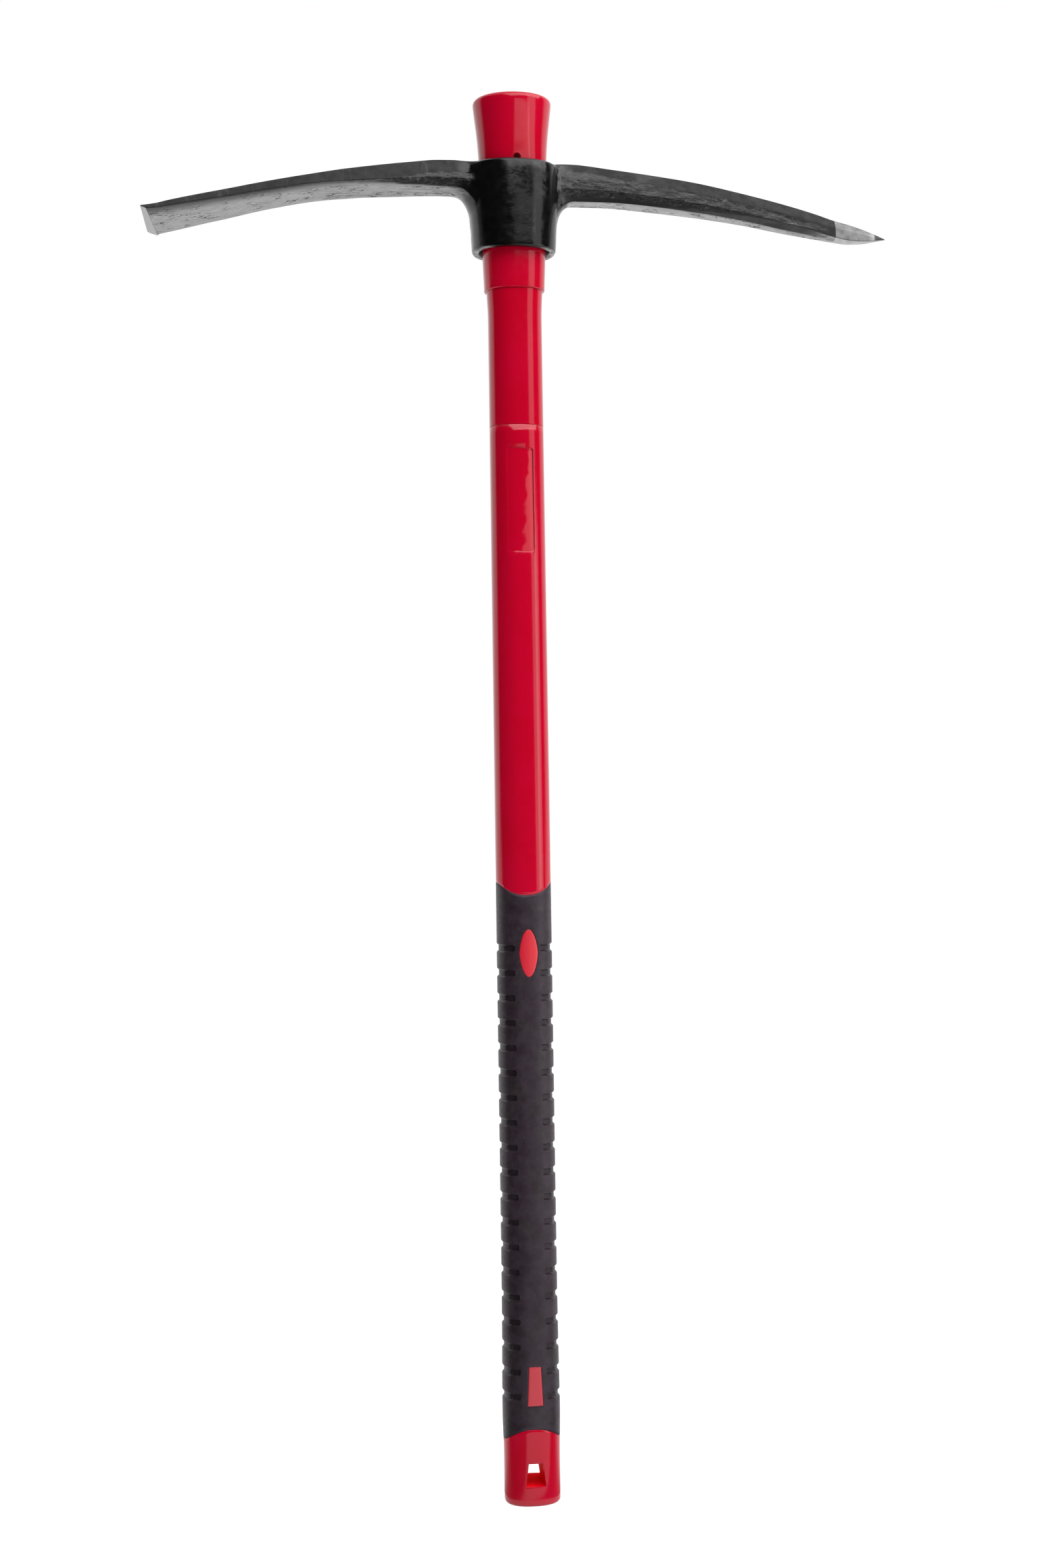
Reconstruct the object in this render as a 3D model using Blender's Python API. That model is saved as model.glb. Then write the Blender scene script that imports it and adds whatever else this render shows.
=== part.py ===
"""Pick mattock with a drop-on forged head and a moulded handle.

The handle stands along +Z on its butt, the pick point is towards +X, the adze blade towards -X, and the
front of the handle, with the label recess, faces -Y. All sizes are in metres.
"""

import math

import bmesh
import bpy

# Gap left between pieces that touch, the reach of a cutter through the handle and past an end
GAP = 0.0003
PAST_SURFACE = 0.0200
PAST_END = 0.0020
SHARP_ANGLE = math.radians(32)

# Handle heights, from the butt face up
HANDLE_TOP = 0.9000
COLLAR_FOOT = 0.7770
JACKET_SEAM = 0.6900
GRIP_TOP_SIDE = 0.3980
GRIP_TOP_FRONT = 0.3900
GRIP_FOOT_SIDE = 0.0415
GRIP_FOOT_FRONT = 0.0495

# Handle sections: height, half width along X, half depth along Y and, on the flare, the oval's power
JACKET_SECTIONS = (
    (0.0000, 0.0180, 0.0150),
    (0.0300, 0.0180, 0.0151),
    (0.0600, 0.0185, 0.0156),
    (0.1120, 0.0180, 0.0154),
    (0.1630, 0.0178, 0.0153),
    (0.3600, 0.0177, 0.0154),
    (0.5900, 0.0174, 0.0158),
    (0.7600, 0.0172, 0.0160),
    (0.7770, 0.0179, 0.0164),
)
OVAL_POWER = 2.3
FLARE_SECTIONS = (
    (0.7770, 0.0193, 0.0176, OVAL_POWER),
    (0.7980, 0.0201, 0.0182, OVAL_POWER),
    (0.8350, 0.0209, 0.0188, OVAL_POWER),
    (0.8570, 0.0216, 0.0193, OVAL_POWER),
    (0.8700, 0.0223, 0.0205, 2.2),
    (0.8965, 0.0252, 0.0236, 2.05),
)
RING_POINTS = 40
FLARE_SPACING = 0.0080
JACKET_SPACING = 0.0300
LIMIT_SPACING = 0.0120
BUTT_LEVELS = (0.0150, 0.0300)
ABOVE_GRIP_LEVELS = (0.4200, 0.5000, 0.5900, 0.6400)
BUTT_EDGE_RADIUS = 0.0025
TOP_EDGE_RADIUS = 0.0032
COLLAR_CHAMFER = 0.0008

# Fibreglass rod inside the handle
CORE_HALF_X = 0.0115
CORE_HALF_Y = 0.0100
CORE_FOOT = 0.0350
CORE_TOP = 0.8850
CORE_CHAMFER = 0.0010

# Moulding details
PIN_HOLE_RADIUS = 0.0023
PIN_HOLE_HEIGHT = 0.8605
PIN_HOLE_POINTS = 16
RECESS_FOOT = 0.6090
RECESS_TOP = 0.6750
RECESS_HALF_WIDTH = 0.0084
RECESS_CORNER = 0.0016
RECESS_DEPTH = 0.0006
LANYARD_FOOT = 0.0130
LANYARD_TOP = 0.0280
LANYARD_HALF_FOOT = 0.0063
LANYARD_HALF_TOP = 0.0045

# Rubber grip: thickness, windows for the raised pads, grooves
GRIP_THICKNESS = 0.0019
SEAT_LEVELS = (0.0600, 0.0860, 0.1120, 0.1630, 0.2300, 0.3000, 0.3600)
PAD_PROUD = 0.0002
PAD_ROOT = 0.0120
PAD_MARGIN = 0.0030
LENS_PAD_HEIGHT = 0.3535
LENS_PAD_HALF_HEIGHT = 0.0156
LENS_PAD_HALF_WIDTH = 0.0062
LENS_PAD_POWER = 1.5
LENS_PAD_POINTS = 28
WEDGE_PAD_FOOT = 0.0647
WEDGE_PAD_TOP = 0.0894
WEDGE_PAD_HALF_FOOT = 0.0050
WEDGE_PAD_HALF_TOP = 0.0038
GROOVE_COUNT = 19
FIRST_GROOVE = 0.0700
LAST_GROOVE = 0.3560
GROOVE_MOUTH = 0.0054
GROOVE_FLOOR = 0.0032
GROOVE_DEPTH = 0.0011
GROOVE_END_ANGLE = math.radians(60)
GROOVE_RAMP_ANGLE = math.radians(7)
GROOVE_END_SHARE = 0.45

# Head: the eye that the handle passes through
EYE_FOOT = 0.8015
EYE_TOP = 0.8570
EYE_POWER = 2.5
EYE_POINTS = 56
EYE_TILT = 0.014
EYE_SECTIONS = (
    (0.8015, 0.0240, 0.0220),
    (0.8022, 0.0257, 0.0237),
    (0.8038, 0.0268, 0.0248),
    (0.8060, 0.0271, 0.0251),
    (0.8150, 0.0275, 0.0253),
    (0.8250, 0.0283, 0.0256),
    (0.8350, 0.0288, 0.0258),
    (0.8500, 0.0288, 0.0258),
    (0.8558, 0.0284, 0.0255),
    (0.8570, 0.0274, 0.0245),
)
BORE_TOP_X = 0.0216 + GAP
BORE_TOP_Y = 0.0193 + GAP
BORE_FOOT_X = 0.0224
BORE_FOOT_Y = 0.0199
BORE_LEAD = 0.0010
BORE_MOUTH = 0.0030

# Head arms: distance from the handle's axis, height of the underside, height of the top,
# half width at the widest, half width of the underside flat, half width of the top flat
BLADE_SECTIONS = (
    (0.0300, 0.8409, 0.8576, 0.0144, 0.0119, 0.0112),
    (0.0400, 0.8408, 0.8585, 0.0144, 0.0120, 0.0112),
    (0.0500, 0.8411, 0.8582, 0.0149, 0.0128, 0.0117),
    (0.0650, 0.8411, 0.8562, 0.0165, 0.0145, 0.0137),
    (0.0800, 0.8410, 0.8538, 0.0187, 0.0168, 0.0162),
    (0.0950, 0.8406, 0.8514, 0.0201, 0.0183, 0.0180),
    (0.1100, 0.8397, 0.8489, 0.0211, 0.0194, 0.0193),
    (0.1250, 0.8383, 0.8460, 0.0220, 0.0204, 0.0205),
    (0.1550, 0.8333, 0.8397, 0.0242, 0.0228, 0.0230),
    (0.1850, 0.8269, 0.8323, 0.0278, 0.0266, 0.0268),
    (0.2150, 0.8205, 0.8247, 0.0317, 0.0307, 0.0309),
    (0.2240, 0.8186, 0.8224, 0.0327, 0.0318, 0.0320),
    (0.2294, 0.8175, 0.8210, 0.0333, 0.0325, 0.0327),
)
BLADE_LENGTH = 0.2344
BLADE_EDGE_HEIGHT = 0.8195
BLADE_EDGE_THICKNESS = 0.0005
BLADE_EDGE_HALF = 0.0338
BEVEL_LENGTH = 0.0050
FRONT_CORNER = 0.0010
BACK_CORNER = 0.0055
CORNER_STEPS = 4

# How far the bevel's heel and the cutting edge slant: longer at the front, shorter at the back
HEEL_SLANT = 0.0028
EDGE_SLANT = 0.0013

PICK_SECTIONS = (
    (0.0300, 0.8343, 0.8581, 0.0110, 0.0072, 0.0066),
    (0.0400, 0.8343, 0.8585, 0.0110, 0.0072, 0.0066),
    (0.0500, 0.8343, 0.8577, 0.0109, 0.0072, 0.0065),
    (0.0600, 0.8342, 0.8565, 0.0108, 0.0072, 0.0064),
    (0.0900, 0.8321, 0.8529, 0.0107, 0.0077, 0.0064),
    (0.1200, 0.8289, 0.8487, 0.0102, 0.0066, 0.0060),
    (0.1500, 0.8246, 0.8428, 0.0094, 0.0052, 0.0054),
    (0.1800, 0.8190, 0.8360, 0.0083, 0.0040, 0.0046),
    (0.2000, 0.8156, 0.8307, 0.0074, 0.0029, 0.0038),
    (0.2120, 0.8138, 0.8270, 0.0067, 0.0022, 0.0033),
    (0.2230, 0.8129, 0.8244, 0.0055, 0.0018, 0.0025),
    (0.2330, 0.8133, 0.8215, 0.0039, 0.0013, 0.0016),
    (0.2400, 0.8145, 0.8190, 0.0024, 0.0008, 0.0009),
    (0.2452, 0.8153, 0.8169, 0.0010, 0.0004, 0.0004),
    (0.2470, 0.8156, 0.8161, 0.0003, 0.0001, 0.0001),
)
WIDEST_SPAN = (0.34, 0.62)
CORNER_BULGE = (0.72, 0.28)
CHAMFER_BULGE = (0.55, 0.62)
TOP_EDGE_WIDTH = 0.06
TOP_EDGE_DROP = 0.03

# Fillets from the arms to the eye: reach along the arm and along the eye's wall, below and beside
BLADE_FILLET = (0.0160, 0.0220, 0.0060, 0.0055)
PICK_FILLET = (0.0120, 0.0200, 0.0050, 0.0045)
FILLET_STEPS = 5
FILLET_SINK = 0.0002
FILLET_TOP = 0.8573
ROOT_DEPTH = 0.0120

# Colours and finish, from the photograph
RED, RED_ROUGHNESS = (0.62, 0.004, 0.030, 1.0), 0.28
BLACK_PAINT, PAINT_ROUGHNESS = (0.020, 0.020, 0.021, 1.0), 0.45
RUBBER, RUBBER_ROUGHNESS = (0.050, 0.045, 0.048, 1.0), 0.75
GLASS_FIBRE, FIBRE_ROUGHNESS = (0.72, 0.66, 0.42, 1.0), 0.45


def clear_scene():
    for obj in list(bpy.data.objects):
        bpy.data.objects.remove(obj)


def material(name, color, roughness):
    made = bpy.data.materials.new(name)
    made.use_nodes = True
    shader = made.node_tree.nodes["Principled BSDF"]
    shader.inputs["Base Color"].default_value = color
    shader.inputs["Roughness"].default_value = roughness
    shader.inputs["Metallic"].default_value = 0.0
    made.diffuse_color = color
    return made


def part(name, build, finish=None):
    """A scene object from a bmesh, with its faces pointing out and its round faces smooth."""
    bmesh.ops.recalc_face_normals(build, faces=build.faces)
    mesh = bpy.data.meshes.new(name)
    build.to_mesh(mesh)
    build.free()
    obj = bpy.data.objects.new(name, mesh)
    bpy.context.scene.collection.objects.link(obj)
    mesh.shade_smooth()
    mesh.set_sharp_from_angle(angle=SHARP_ANGLE)
    if finish:
        mesh.materials.append(finish)
    return obj


def combine(target, tool, operation):
    """Cuts or joins another object into this one, which keeps the result as its mesh."""
    tool.hide_render = True
    tool.display_type = "WIRE"
    step = target.modifiers.new(tool.name, "BOOLEAN")
    step.operation = operation
    step.object = tool
    graph = bpy.context.evaluated_depsgraph_get()
    mesh = bpy.data.meshes.new_from_object(target.evaluated_get(graph))
    target.modifiers.clear()
    old = target.data
    target.data = mesh
    mesh.shade_smooth()
    mesh.set_sharp_from_angle(angle=SHARP_ANGLE)
    bpy.data.meshes.remove(old)
    bpy.data.objects.remove(tool)


def smooth_between(sections, height):
    """Values at a height, read from a smooth curve through the sections."""
    heights = [section[0] for section in sections]
    height = min(max(height, heights[0]), heights[-1])
    k = max(i for i in range(len(heights) - 1) if heights[i] <= height or i == 0)
    low, high = sections[k], sections[k + 1]
    span = high[0] - low[0]
    t = (height - low[0]) / span
    values = []
    for column in range(1, len(low)):
        rise = (high[column] - low[column]) / span
        before = rise
        if k > 0:
            before = slope_at(sections, k, column)
        after = rise
        if k + 2 < len(sections):
            after = slope_at(sections, k + 1, column)
        h00 = 2 * t**3 - 3 * t**2 + 1
        h10 = t**3 - 2 * t**2 + t
        h01 = 3 * t**2 - 2 * t**3
        h11 = t**3 - t**2
        values.append(h00 * low[column] + h10 * span * before + h01 * high[column] + h11 * span * after)
    return values


def slope_at(sections, k, column):
    """Slope of a column at an inner section: the harmonic mean of its neighbours, so nothing overshoots."""
    below = (sections[k][column] - sections[k - 1][column]) / (sections[k][0] - sections[k - 1][0])
    above = (sections[k + 1][column] - sections[k][column]) / (sections[k + 1][0] - sections[k][0])
    if below * above <= 0:
        return 0.0
    return 2 * below * above / (below + above)


def oval_point(half_x, half_y, angle, power=OVAL_POWER):
    c, s = math.cos(angle), math.sin(angle)
    x = half_x * math.copysign(abs(c) ** (2 / power), c)
    y = half_y * math.copysign(abs(s) ** (2 / power), s)
    return x, y


def oval_ring(half_x, half_y, height, power=OVAL_POWER, points=RING_POINTS):
    """A level oval ring of points; the height may be a function of the angle."""
    ring = []
    for k in range(points):
        angle = 2 * math.pi * k / points
        level = height(angle) if callable(height) else height
        ring.append((*oval_point(half_x, half_y, angle, power), level))
    return ring


def skin(rings, closed=False):
    """A mesh through rings with equal point counts, capped at both ends, or turned back on itself."""
    build = bmesh.new()
    rows = [[build.verts.new(point) for point in ring] for ring in rings]
    pairs = list(zip(rows, rows[1:]))
    if closed:
        pairs.append((rows[-1], rows[0]))
    for low, high in pairs:
        for k in range(len(low)):
            n = (k + 1) % len(low)
            build.faces.new((low[k], low[n], high[n], high[k]))
    if not closed:
        build.faces.new(list(reversed(rows[0])))
        build.faces.new(rows[-1])
    return build


def prism(outline, low_y, high_y):
    """A solid along Y from an outline of (x, z) points."""
    return skin([[(x, low_y, z) for x, z in outline], [(x, high_y, z) for x, z in outline]])


def jacket_ring(height, inset=0.0, wave=0.0):
    """Ring of the handle's outer surface; wave lifts the front and back above the sides."""
    half_x, half_y = smooth_between(JACKET_SECTIONS, height)

    def level(angle):
        return height + wave * math.sin(angle) ** 2

    return oval_ring(half_x - inset, half_y - inset, level)


def edge_rings(sections, height, radius, upwards, steps=3):
    """Rings of a rounded edge that ends on a flat face."""
    half_x, half_y, *power = smooth_between(sections, height)
    rings = []
    for k in range(steps + 1):
        turn = math.pi / 2 * k / steps
        inset = radius * (1 - math.cos(turn))
        rise = radius * math.sin(turn)
        level = height + (rise - radius) * (1 if upwards else -1)
        rings.append(oval_ring(half_x - inset, half_y - inset, level, *power))
    return rings if upwards else list(reversed(rings))


def core_ring(height, clearance=0.0):
    return oval_ring(CORE_HALF_X + clearance, CORE_HALF_Y + clearance, height, power=2.0)


def heights_between(low, high, spacing):
    """Evenly spaced heights inside a span, without its ends."""
    count = max(1, round((high - low) / spacing))
    return [low + (high - low) * k / count for k in range(1, count)]


def lens_outline(grow=0.0):
    """Outline of the upright oval pad with narrow, blunt ends, grown by a clearance."""
    outline = []
    for k in range(LENS_PAD_POINTS):
        turn = 2 * math.pi * k / LENS_PAD_POINTS
        rise = math.copysign(abs(math.sin(turn)) ** (2 / LENS_PAD_POWER), math.sin(turn))
        x = (LENS_PAD_HALF_WIDTH + grow) * math.cos(turn)
        outline.append((x, LENS_PAD_HEIGHT + (LENS_PAD_HALF_HEIGHT + grow) * rise))
    return outline


def wedge_outline(grow=0.0):
    return [
        (-WEDGE_PAD_HALF_FOOT - grow, WEDGE_PAD_FOOT - grow),
        (WEDGE_PAD_HALF_FOOT + grow, WEDGE_PAD_FOOT - grow),
        (WEDGE_PAD_HALF_TOP + grow, WEDGE_PAD_TOP + grow),
        (-WEDGE_PAD_HALF_TOP - grow, WEDGE_PAD_TOP + grow),
    ]


def rounded_rectangle(half_width, low, high, radius, steps=4):
    outline = []
    for x, z, start in (
        (half_width - radius, low + radius, -90),
        (half_width - radius, high - radius, 0),
        (radius - half_width, high - radius, 90),
        (radius - half_width, low + radius, 180),
    ):
        for k in range(steps + 1):
            turn = math.radians(start + 90 * k / steps)
            outline.append((x + radius * math.cos(turn), z + radius * math.sin(turn)))
    return outline


def fibreglass_core(finish):
    rings = [
        core_ring(CORE_FOOT, -CORE_CHAMFER),
        core_ring(CORE_FOOT + CORE_CHAMFER),
        core_ring(CORE_TOP - CORE_CHAMFER),
        core_ring(CORE_TOP, -CORE_CHAMFER),
    ]
    return part("fibreglass_core", skin(rings), finish)


def head_end_moulding(finish):
    """Flared plastic end that wedges in the eye, with the collar below it and a blind bore for the rod."""
    foot_x, foot_y, _ = smooth_between(FLARE_SECTIONS, COLLAR_FOOT)
    rings = [
        core_ring(CORE_TOP + GAP, GAP),
        core_ring(COLLAR_FOOT, GAP),
        oval_ring(foot_x - COLLAR_CHAMFER, foot_y - COLLAR_CHAMFER, COLLAR_FOOT),
    ]
    low, high = COLLAR_FOOT + COLLAR_CHAMFER, HANDLE_TOP - TOP_EDGE_RADIUS
    for height in (low, *heights_between(low, high, FLARE_SPACING)):
        half_x, half_y, power = smooth_between(FLARE_SECTIONS, height)
        rings.append(oval_ring(half_x, half_y, height, power))
    rings += edge_rings(FLARE_SECTIONS, HANDLE_TOP, TOP_EDGE_RADIUS, upwards=True)
    moulding = part("head_end_moulding", skin(rings), finish)
    circle = []
    for k in range(PIN_HOLE_POINTS):
        turn = 2 * math.pi * k / PIN_HOLE_POINTS
        circle.append((PIN_HOLE_RADIUS * math.cos(turn), PIN_HOLE_HEIGHT + PIN_HOLE_RADIUS * math.sin(turn)))
    reach = FLARE_SECTIONS[-1][2] + PAST_END
    combine(moulding, part("pin_hole", prism(circle, -reach, reach)), "DIFFERENCE")
    return moulding


def upper_jacket(finish):
    low, high = JACKET_SEAM + GAP, COLLAR_FOOT - GAP
    rings = [core_ring(high, GAP), core_ring(low, GAP), jacket_ring(low)]
    swell_foot, swell_top = JACKET_SECTIONS[-2][0], JACKET_SECTIONS[-1][0]
    rings += [jacket_ring(height) for height in heights_between(low, swell_foot, JACKET_SPACING)]
    rings += [jacket_ring(swell_foot + (swell_top - swell_foot) * share) for share in (0, 1 / 3, 2 / 3)]
    rings.append(jacket_ring(high))
    return part("upper_jacket", skin(rings, closed=True), finish)


def inner_solid(name, inset, low, high):
    """The handle's outer surface moved inwards, as a solid for shaping pads and recesses."""
    levels = [low, *heights_between(low, high, LIMIT_SPACING), high]
    return part(name, skin([jacket_ring(height, inset) for height in levels]))


def raised_pads(jacket, name, outline, low, high):
    """Joins a pad to the jacket's front and one to its back, each just proud of the grip's surface."""
    for side in (-1, 1):
        span = sorted((side * PAD_ROOT, side * PAST_SURFACE))
        pad = part(name, prism(outline, *span))
        limit = inner_solid(name + "_limit", -PAD_PROUD, low - PAD_MARGIN, high + PAD_MARGIN)
        combine(pad, limit, "INTERSECT")
        combine(jacket, pad, "UNION")


def lower_jacket(finish):
    """Handle jacket from the seam down: label recess, seat for the grip, pads, butt and lanyard hole."""
    rings = edge_rings(JACKET_SECTIONS, 0.0, BUTT_EDGE_RADIUS, upwards=False)
    foot_wave = GRIP_FOOT_FRONT - GRIP_FOOT_SIDE
    top_wave = GRIP_TOP_FRONT - GRIP_TOP_SIDE
    rings += [jacket_ring(height) for height in BUTT_LEVELS]
    rings.append(jacket_ring(GRIP_FOOT_SIDE, 0.0, foot_wave))
    rings.append(jacket_ring(GRIP_FOOT_SIDE, GRIP_THICKNESS, foot_wave))
    rings += [jacket_ring(height, GRIP_THICKNESS) for height in SEAT_LEVELS]
    rings.append(jacket_ring(GRIP_TOP_SIDE, GRIP_THICKNESS, top_wave))
    rings.append(jacket_ring(GRIP_TOP_SIDE, 0.0, top_wave))
    rings += [jacket_ring(height) for height in (*ABOVE_GRIP_LEVELS, JACKET_SEAM)]
    rings += [core_ring(JACKET_SEAM, GAP), core_ring(CORE_FOOT - GAP, GAP)]
    jacket = part("lower_jacket", skin(rings), finish)
    lens_foot, lens_top = LENS_PAD_HEIGHT - LENS_PAD_HALF_HEIGHT, LENS_PAD_HEIGHT + LENS_PAD_HALF_HEIGHT
    raised_pads(jacket, "lens_pad", lens_outline(), lens_foot, lens_top)
    raised_pads(jacket, "wedge_pad", wedge_outline(), WEDGE_PAD_FOOT, WEDGE_PAD_TOP)
    recess = rounded_rectangle(RECESS_HALF_WIDTH, RECESS_FOOT, RECESS_TOP, RECESS_CORNER)
    cutter = part("label_recess", prism(recess, -PAST_SURFACE, 0.0))
    floor = inner_solid("recess_floor", RECESS_DEPTH, RECESS_FOOT - PAD_MARGIN, RECESS_TOP + PAD_MARGIN)
    combine(cutter, floor, "DIFFERENCE")
    combine(jacket, cutter, "DIFFERENCE")
    lanyard = [
        (-LANYARD_HALF_FOOT, LANYARD_FOOT),
        (LANYARD_HALF_FOOT, LANYARD_FOOT),
        (LANYARD_HALF_TOP, LANYARD_TOP),
        (-LANYARD_HALF_TOP, LANYARD_TOP),
    ]
    combine(jacket, part("lanyard_hole", prism(lanyard, -PAST_SURFACE, PAST_SURFACE)), "DIFFERENCE")
    return jacket


def groove_depth(angle):
    """Share of a groove's depth at an angle round the grip: full at the sides, none at front and back."""
    from_side = abs(math.asin(math.sin(angle)))
    return min(max((GROOVE_END_ANGLE - from_side) / GROOVE_RAMP_ANGLE, 0.0), 1.0)


def grip_angles():
    """Angles round the grip, with pairs where the grooves end."""
    end, floor = GROOVE_END_ANGLE, GROOVE_END_ANGLE - GROOVE_RAMP_ANGLE
    quarter = [0.0, 0.27, 0.52, 0.75, floor, end, 1.22, 1.40, math.pi / 2]
    half = quarter + [math.pi - angle for angle in reversed(quarter[:-1])]
    return half + [2 * math.pi - angle for angle in reversed(half[1:-1])]


def grip_ring(height, inset=0.0, wave=0.0):
    half_x, half_y = smooth_between(JACKET_SECTIONS, height)
    ring = []
    for angle in grip_angles():
        x, y = oval_point(half_x - inset, half_y - inset, angle)
        ring.append((x, y, height + wave * math.sin(angle) ** 2))
    return ring


def groove_ring(centre, above, depth):
    """Ring on a groove's wall or floor; towards the groove's ends it runs out and closes in."""
    half_x, half_y = smooth_between(JACKET_SECTIONS, centre)
    ring = []
    for angle in grip_angles():
        share = groove_depth(angle)
        x, y = oval_point(half_x - depth * share, half_y - depth * share, angle)
        ring.append((x, y, centre + above * (GROOVE_END_SHARE + (1 - GROOVE_END_SHARE) * share)))
    return ring


def rubber_grip(finish):
    """Sleeve with finger grooves round both sides and windows for the pads."""
    foot_wave = GRIP_FOOT_FRONT - GRIP_FOOT_SIDE
    top_wave = GRIP_TOP_FRONT - GRIP_TOP_SIDE
    foot, top = GRIP_FOOT_SIDE + GAP, GRIP_TOP_SIDE - GAP
    inner = GRIP_THICKNESS - GAP
    rings = [grip_ring(top, inner, top_wave)]
    rings += [grip_ring(height, inner) for height in reversed(SEAT_LEVELS)]
    rings += [grip_ring(foot, inner, foot_wave), grip_ring(foot, 0.0, foot_wave)]
    pitch = (LAST_GROOVE - FIRST_GROOVE) / (GROOVE_COUNT - 1)
    for k in range(GROOVE_COUNT):
        centre = FIRST_GROOVE + pitch * k
        rings.append(groove_ring(centre, -GROOVE_MOUTH / 2, 0.0))
        rings.append(groove_ring(centre, -GROOVE_FLOOR / 2, GROOVE_DEPTH))
        rings.append(groove_ring(centre, GROOVE_FLOOR / 2, GROOVE_DEPTH))
        rings.append(groove_ring(centre, GROOVE_MOUTH / 2, 0.0))
    rings.append(grip_ring(top, 0.0, top_wave))
    grip = part("rubber_grip", skin(rings, closed=True), finish)
    combine(grip, part("lens_window", prism(lens_outline(GAP), -PAST_SURFACE, PAST_SURFACE)), "DIFFERENCE")
    combine(grip, part("wedge_window", prism(wedge_outline(GAP), -PAST_SURFACE, PAST_SURFACE)), "DIFFERENCE")
    return grip


def arm_ring(x, low, high, widest, underside, top):
    """Section of an arm: flat underside, bulged sides and a chamfered top."""
    belly, shoulder = (low + (high - low) * share for share in WIDEST_SPAN)
    corner_out, corner_up = CORNER_BULGE
    chamfer_out, chamfer_up = CHAMFER_BULGE
    half = [
        (0.0, low),
        (underside, low),
        (underside + corner_out * (widest - underside), low + corner_up * (belly - low)),
        (widest, belly),
        (widest, shoulder),
        (top + chamfer_out * (widest - top), shoulder + chamfer_up * (high - shoulder)),
        (top, high - TOP_EDGE_DROP * (high - low)),
        ((1 - TOP_EDGE_WIDTH) * top, high),
        (0.0, high),
    ]
    ring = [(x, y, z) for y, z in half]
    return ring + [(x, -y, z) for y, z in reversed(half[1:-1])]


def arm_section(sections, distance):
    return arm_ring(distance, *smooth_between(sections, distance))


def eye_ring(height, half_x, half_y):
    """Ring round the eye, a little lower towards the point than towards the blade."""
    ring = oval_ring(half_x, half_y, height, EYE_POWER, EYE_POINTS)
    return [(x, y, z - EYE_TILT * x) for x, y, z in ring]


def eye_wall(y, z):
    """Distance from the handle's axis to the outside of the eye, at a width and a height."""
    half_x, half_y = smooth_between(EYE_SECTIONS, z)
    return half_x * (1 - abs(y / half_y) ** EYE_POWER) ** (1 / EYE_POWER)


def fillet_rings(sections, fillet):
    """Rings from inside the eye, out along its wall and round onto the arm, tangent to both."""
    arm_below, eye_below, arm_beside, eye_beside = fillet
    _, low, high, widest, _, _ = sections[0]
    middle = (low + high) / 2
    rings = [[] for _ in range(FILLET_STEPS + 2)]
    for index, (_, y, z) in enumerate(arm_section(sections, sections[0][0])):
        turn = math.atan2((z - middle) / (high - low) * 2, y / widest)
        below, beside = max(0.0, -math.sin(turn)), math.cos(turn)
        start = eye_wall(y, z) + arm_beside + (arm_below - arm_beside) * below
        on_arm = arm_section(sections, start)[index]
        y, z = on_arm[1], min(on_arm[2], FILLET_TOP)
        corner = (eye_wall(y, z), y, z)
        y, z = y + eye_beside * beside, z - eye_below * below
        on_eye = (eye_wall(y, z) - FILLET_SINK, y, z)
        rings[0].append((ROOT_DEPTH, y / 2, (z + middle) / 2))
        for k in range(FILLET_STEPS + 1):
            t = 1 - k / FILLET_STEPS
            shares = ((1 - t) ** 2, 2 * t * (1 - t), t**2)
            point = [sum(s * p[axis] for s, p in zip(shares, (on_arm, corner, on_eye))) for axis in range(3)]
            rings[k + 1].append(tuple(point))
    return rings


def arm_rings(sections, fillet):
    """Rings of a whole arm: its fillet, then the sections past the fillet's end."""
    rings = fillet_rings(sections, fillet)
    past = max(point[0] for point in rings[-1])
    return rings + [arm_ring(*section) for section in sections if section[0] > past]


def blade_tip_rings():
    """The ground bevel: the underside rises to the slanting edge, whose two corners are rounded."""
    heel = BLADE_LENGTH - BEVEL_LENGTH
    start = arm_section(BLADE_SECTIONS, heel)
    edge_low = BLADE_EDGE_HEIGHT - BLADE_EDGE_THICKNESS
    half = BLADE_EDGE_HALF
    edge = arm_ring(BLADE_LENGTH, edge_low, BLADE_EDGE_HEIGHT, half, half, half)
    rings = []
    for k in range(CORNER_STEPS + 1):
        turn = math.pi / 2 * k / CORNER_STEPS
        share, inset = math.sin(turn), 1 - math.cos(turn)
        slant = HEEL_SLANT + (EDGE_SLANT - HEEL_SLANT) * share
        ring = []
        for (_, y, z), (_, edge_y, edge_z) in zip(start, edge):
            corner = FRONT_CORNER if y < 0 else BACK_CORNER
            y += (edge_y - y) * share
            y *= 1 - corner / half * inset
            ring.append((heel + BEVEL_LENGTH * share - slant * y / half, y, z + (edge_z - z) * share))
        rings.append(ring)
    return rings


def eye_bore():
    """Cutter for the tapered hole through the eye, a little wider at the foot's edge."""
    rise_x = (BORE_TOP_X - BORE_FOOT_X) / (EYE_TOP - EYE_FOOT)
    rise_y = (BORE_TOP_Y - BORE_FOOT_Y) / (EYE_TOP - EYE_FOOT)
    below, above = EYE_FOOT - PAST_END, EYE_TOP + PAST_END
    rings = []
    for height, lead in ((below, BORE_MOUTH), (EYE_FOOT + BORE_LEAD, 0.0), (above, 0.0)):
        climb = height - EYE_FOOT
        half_x = BORE_FOOT_X + rise_x * climb + lead
        half_y = BORE_FOOT_Y + rise_y * climb + lead
        rings.append(oval_ring(half_x, half_y, height, points=EYE_POINTS))
    return part("eye_bore", skin(rings))


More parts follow.
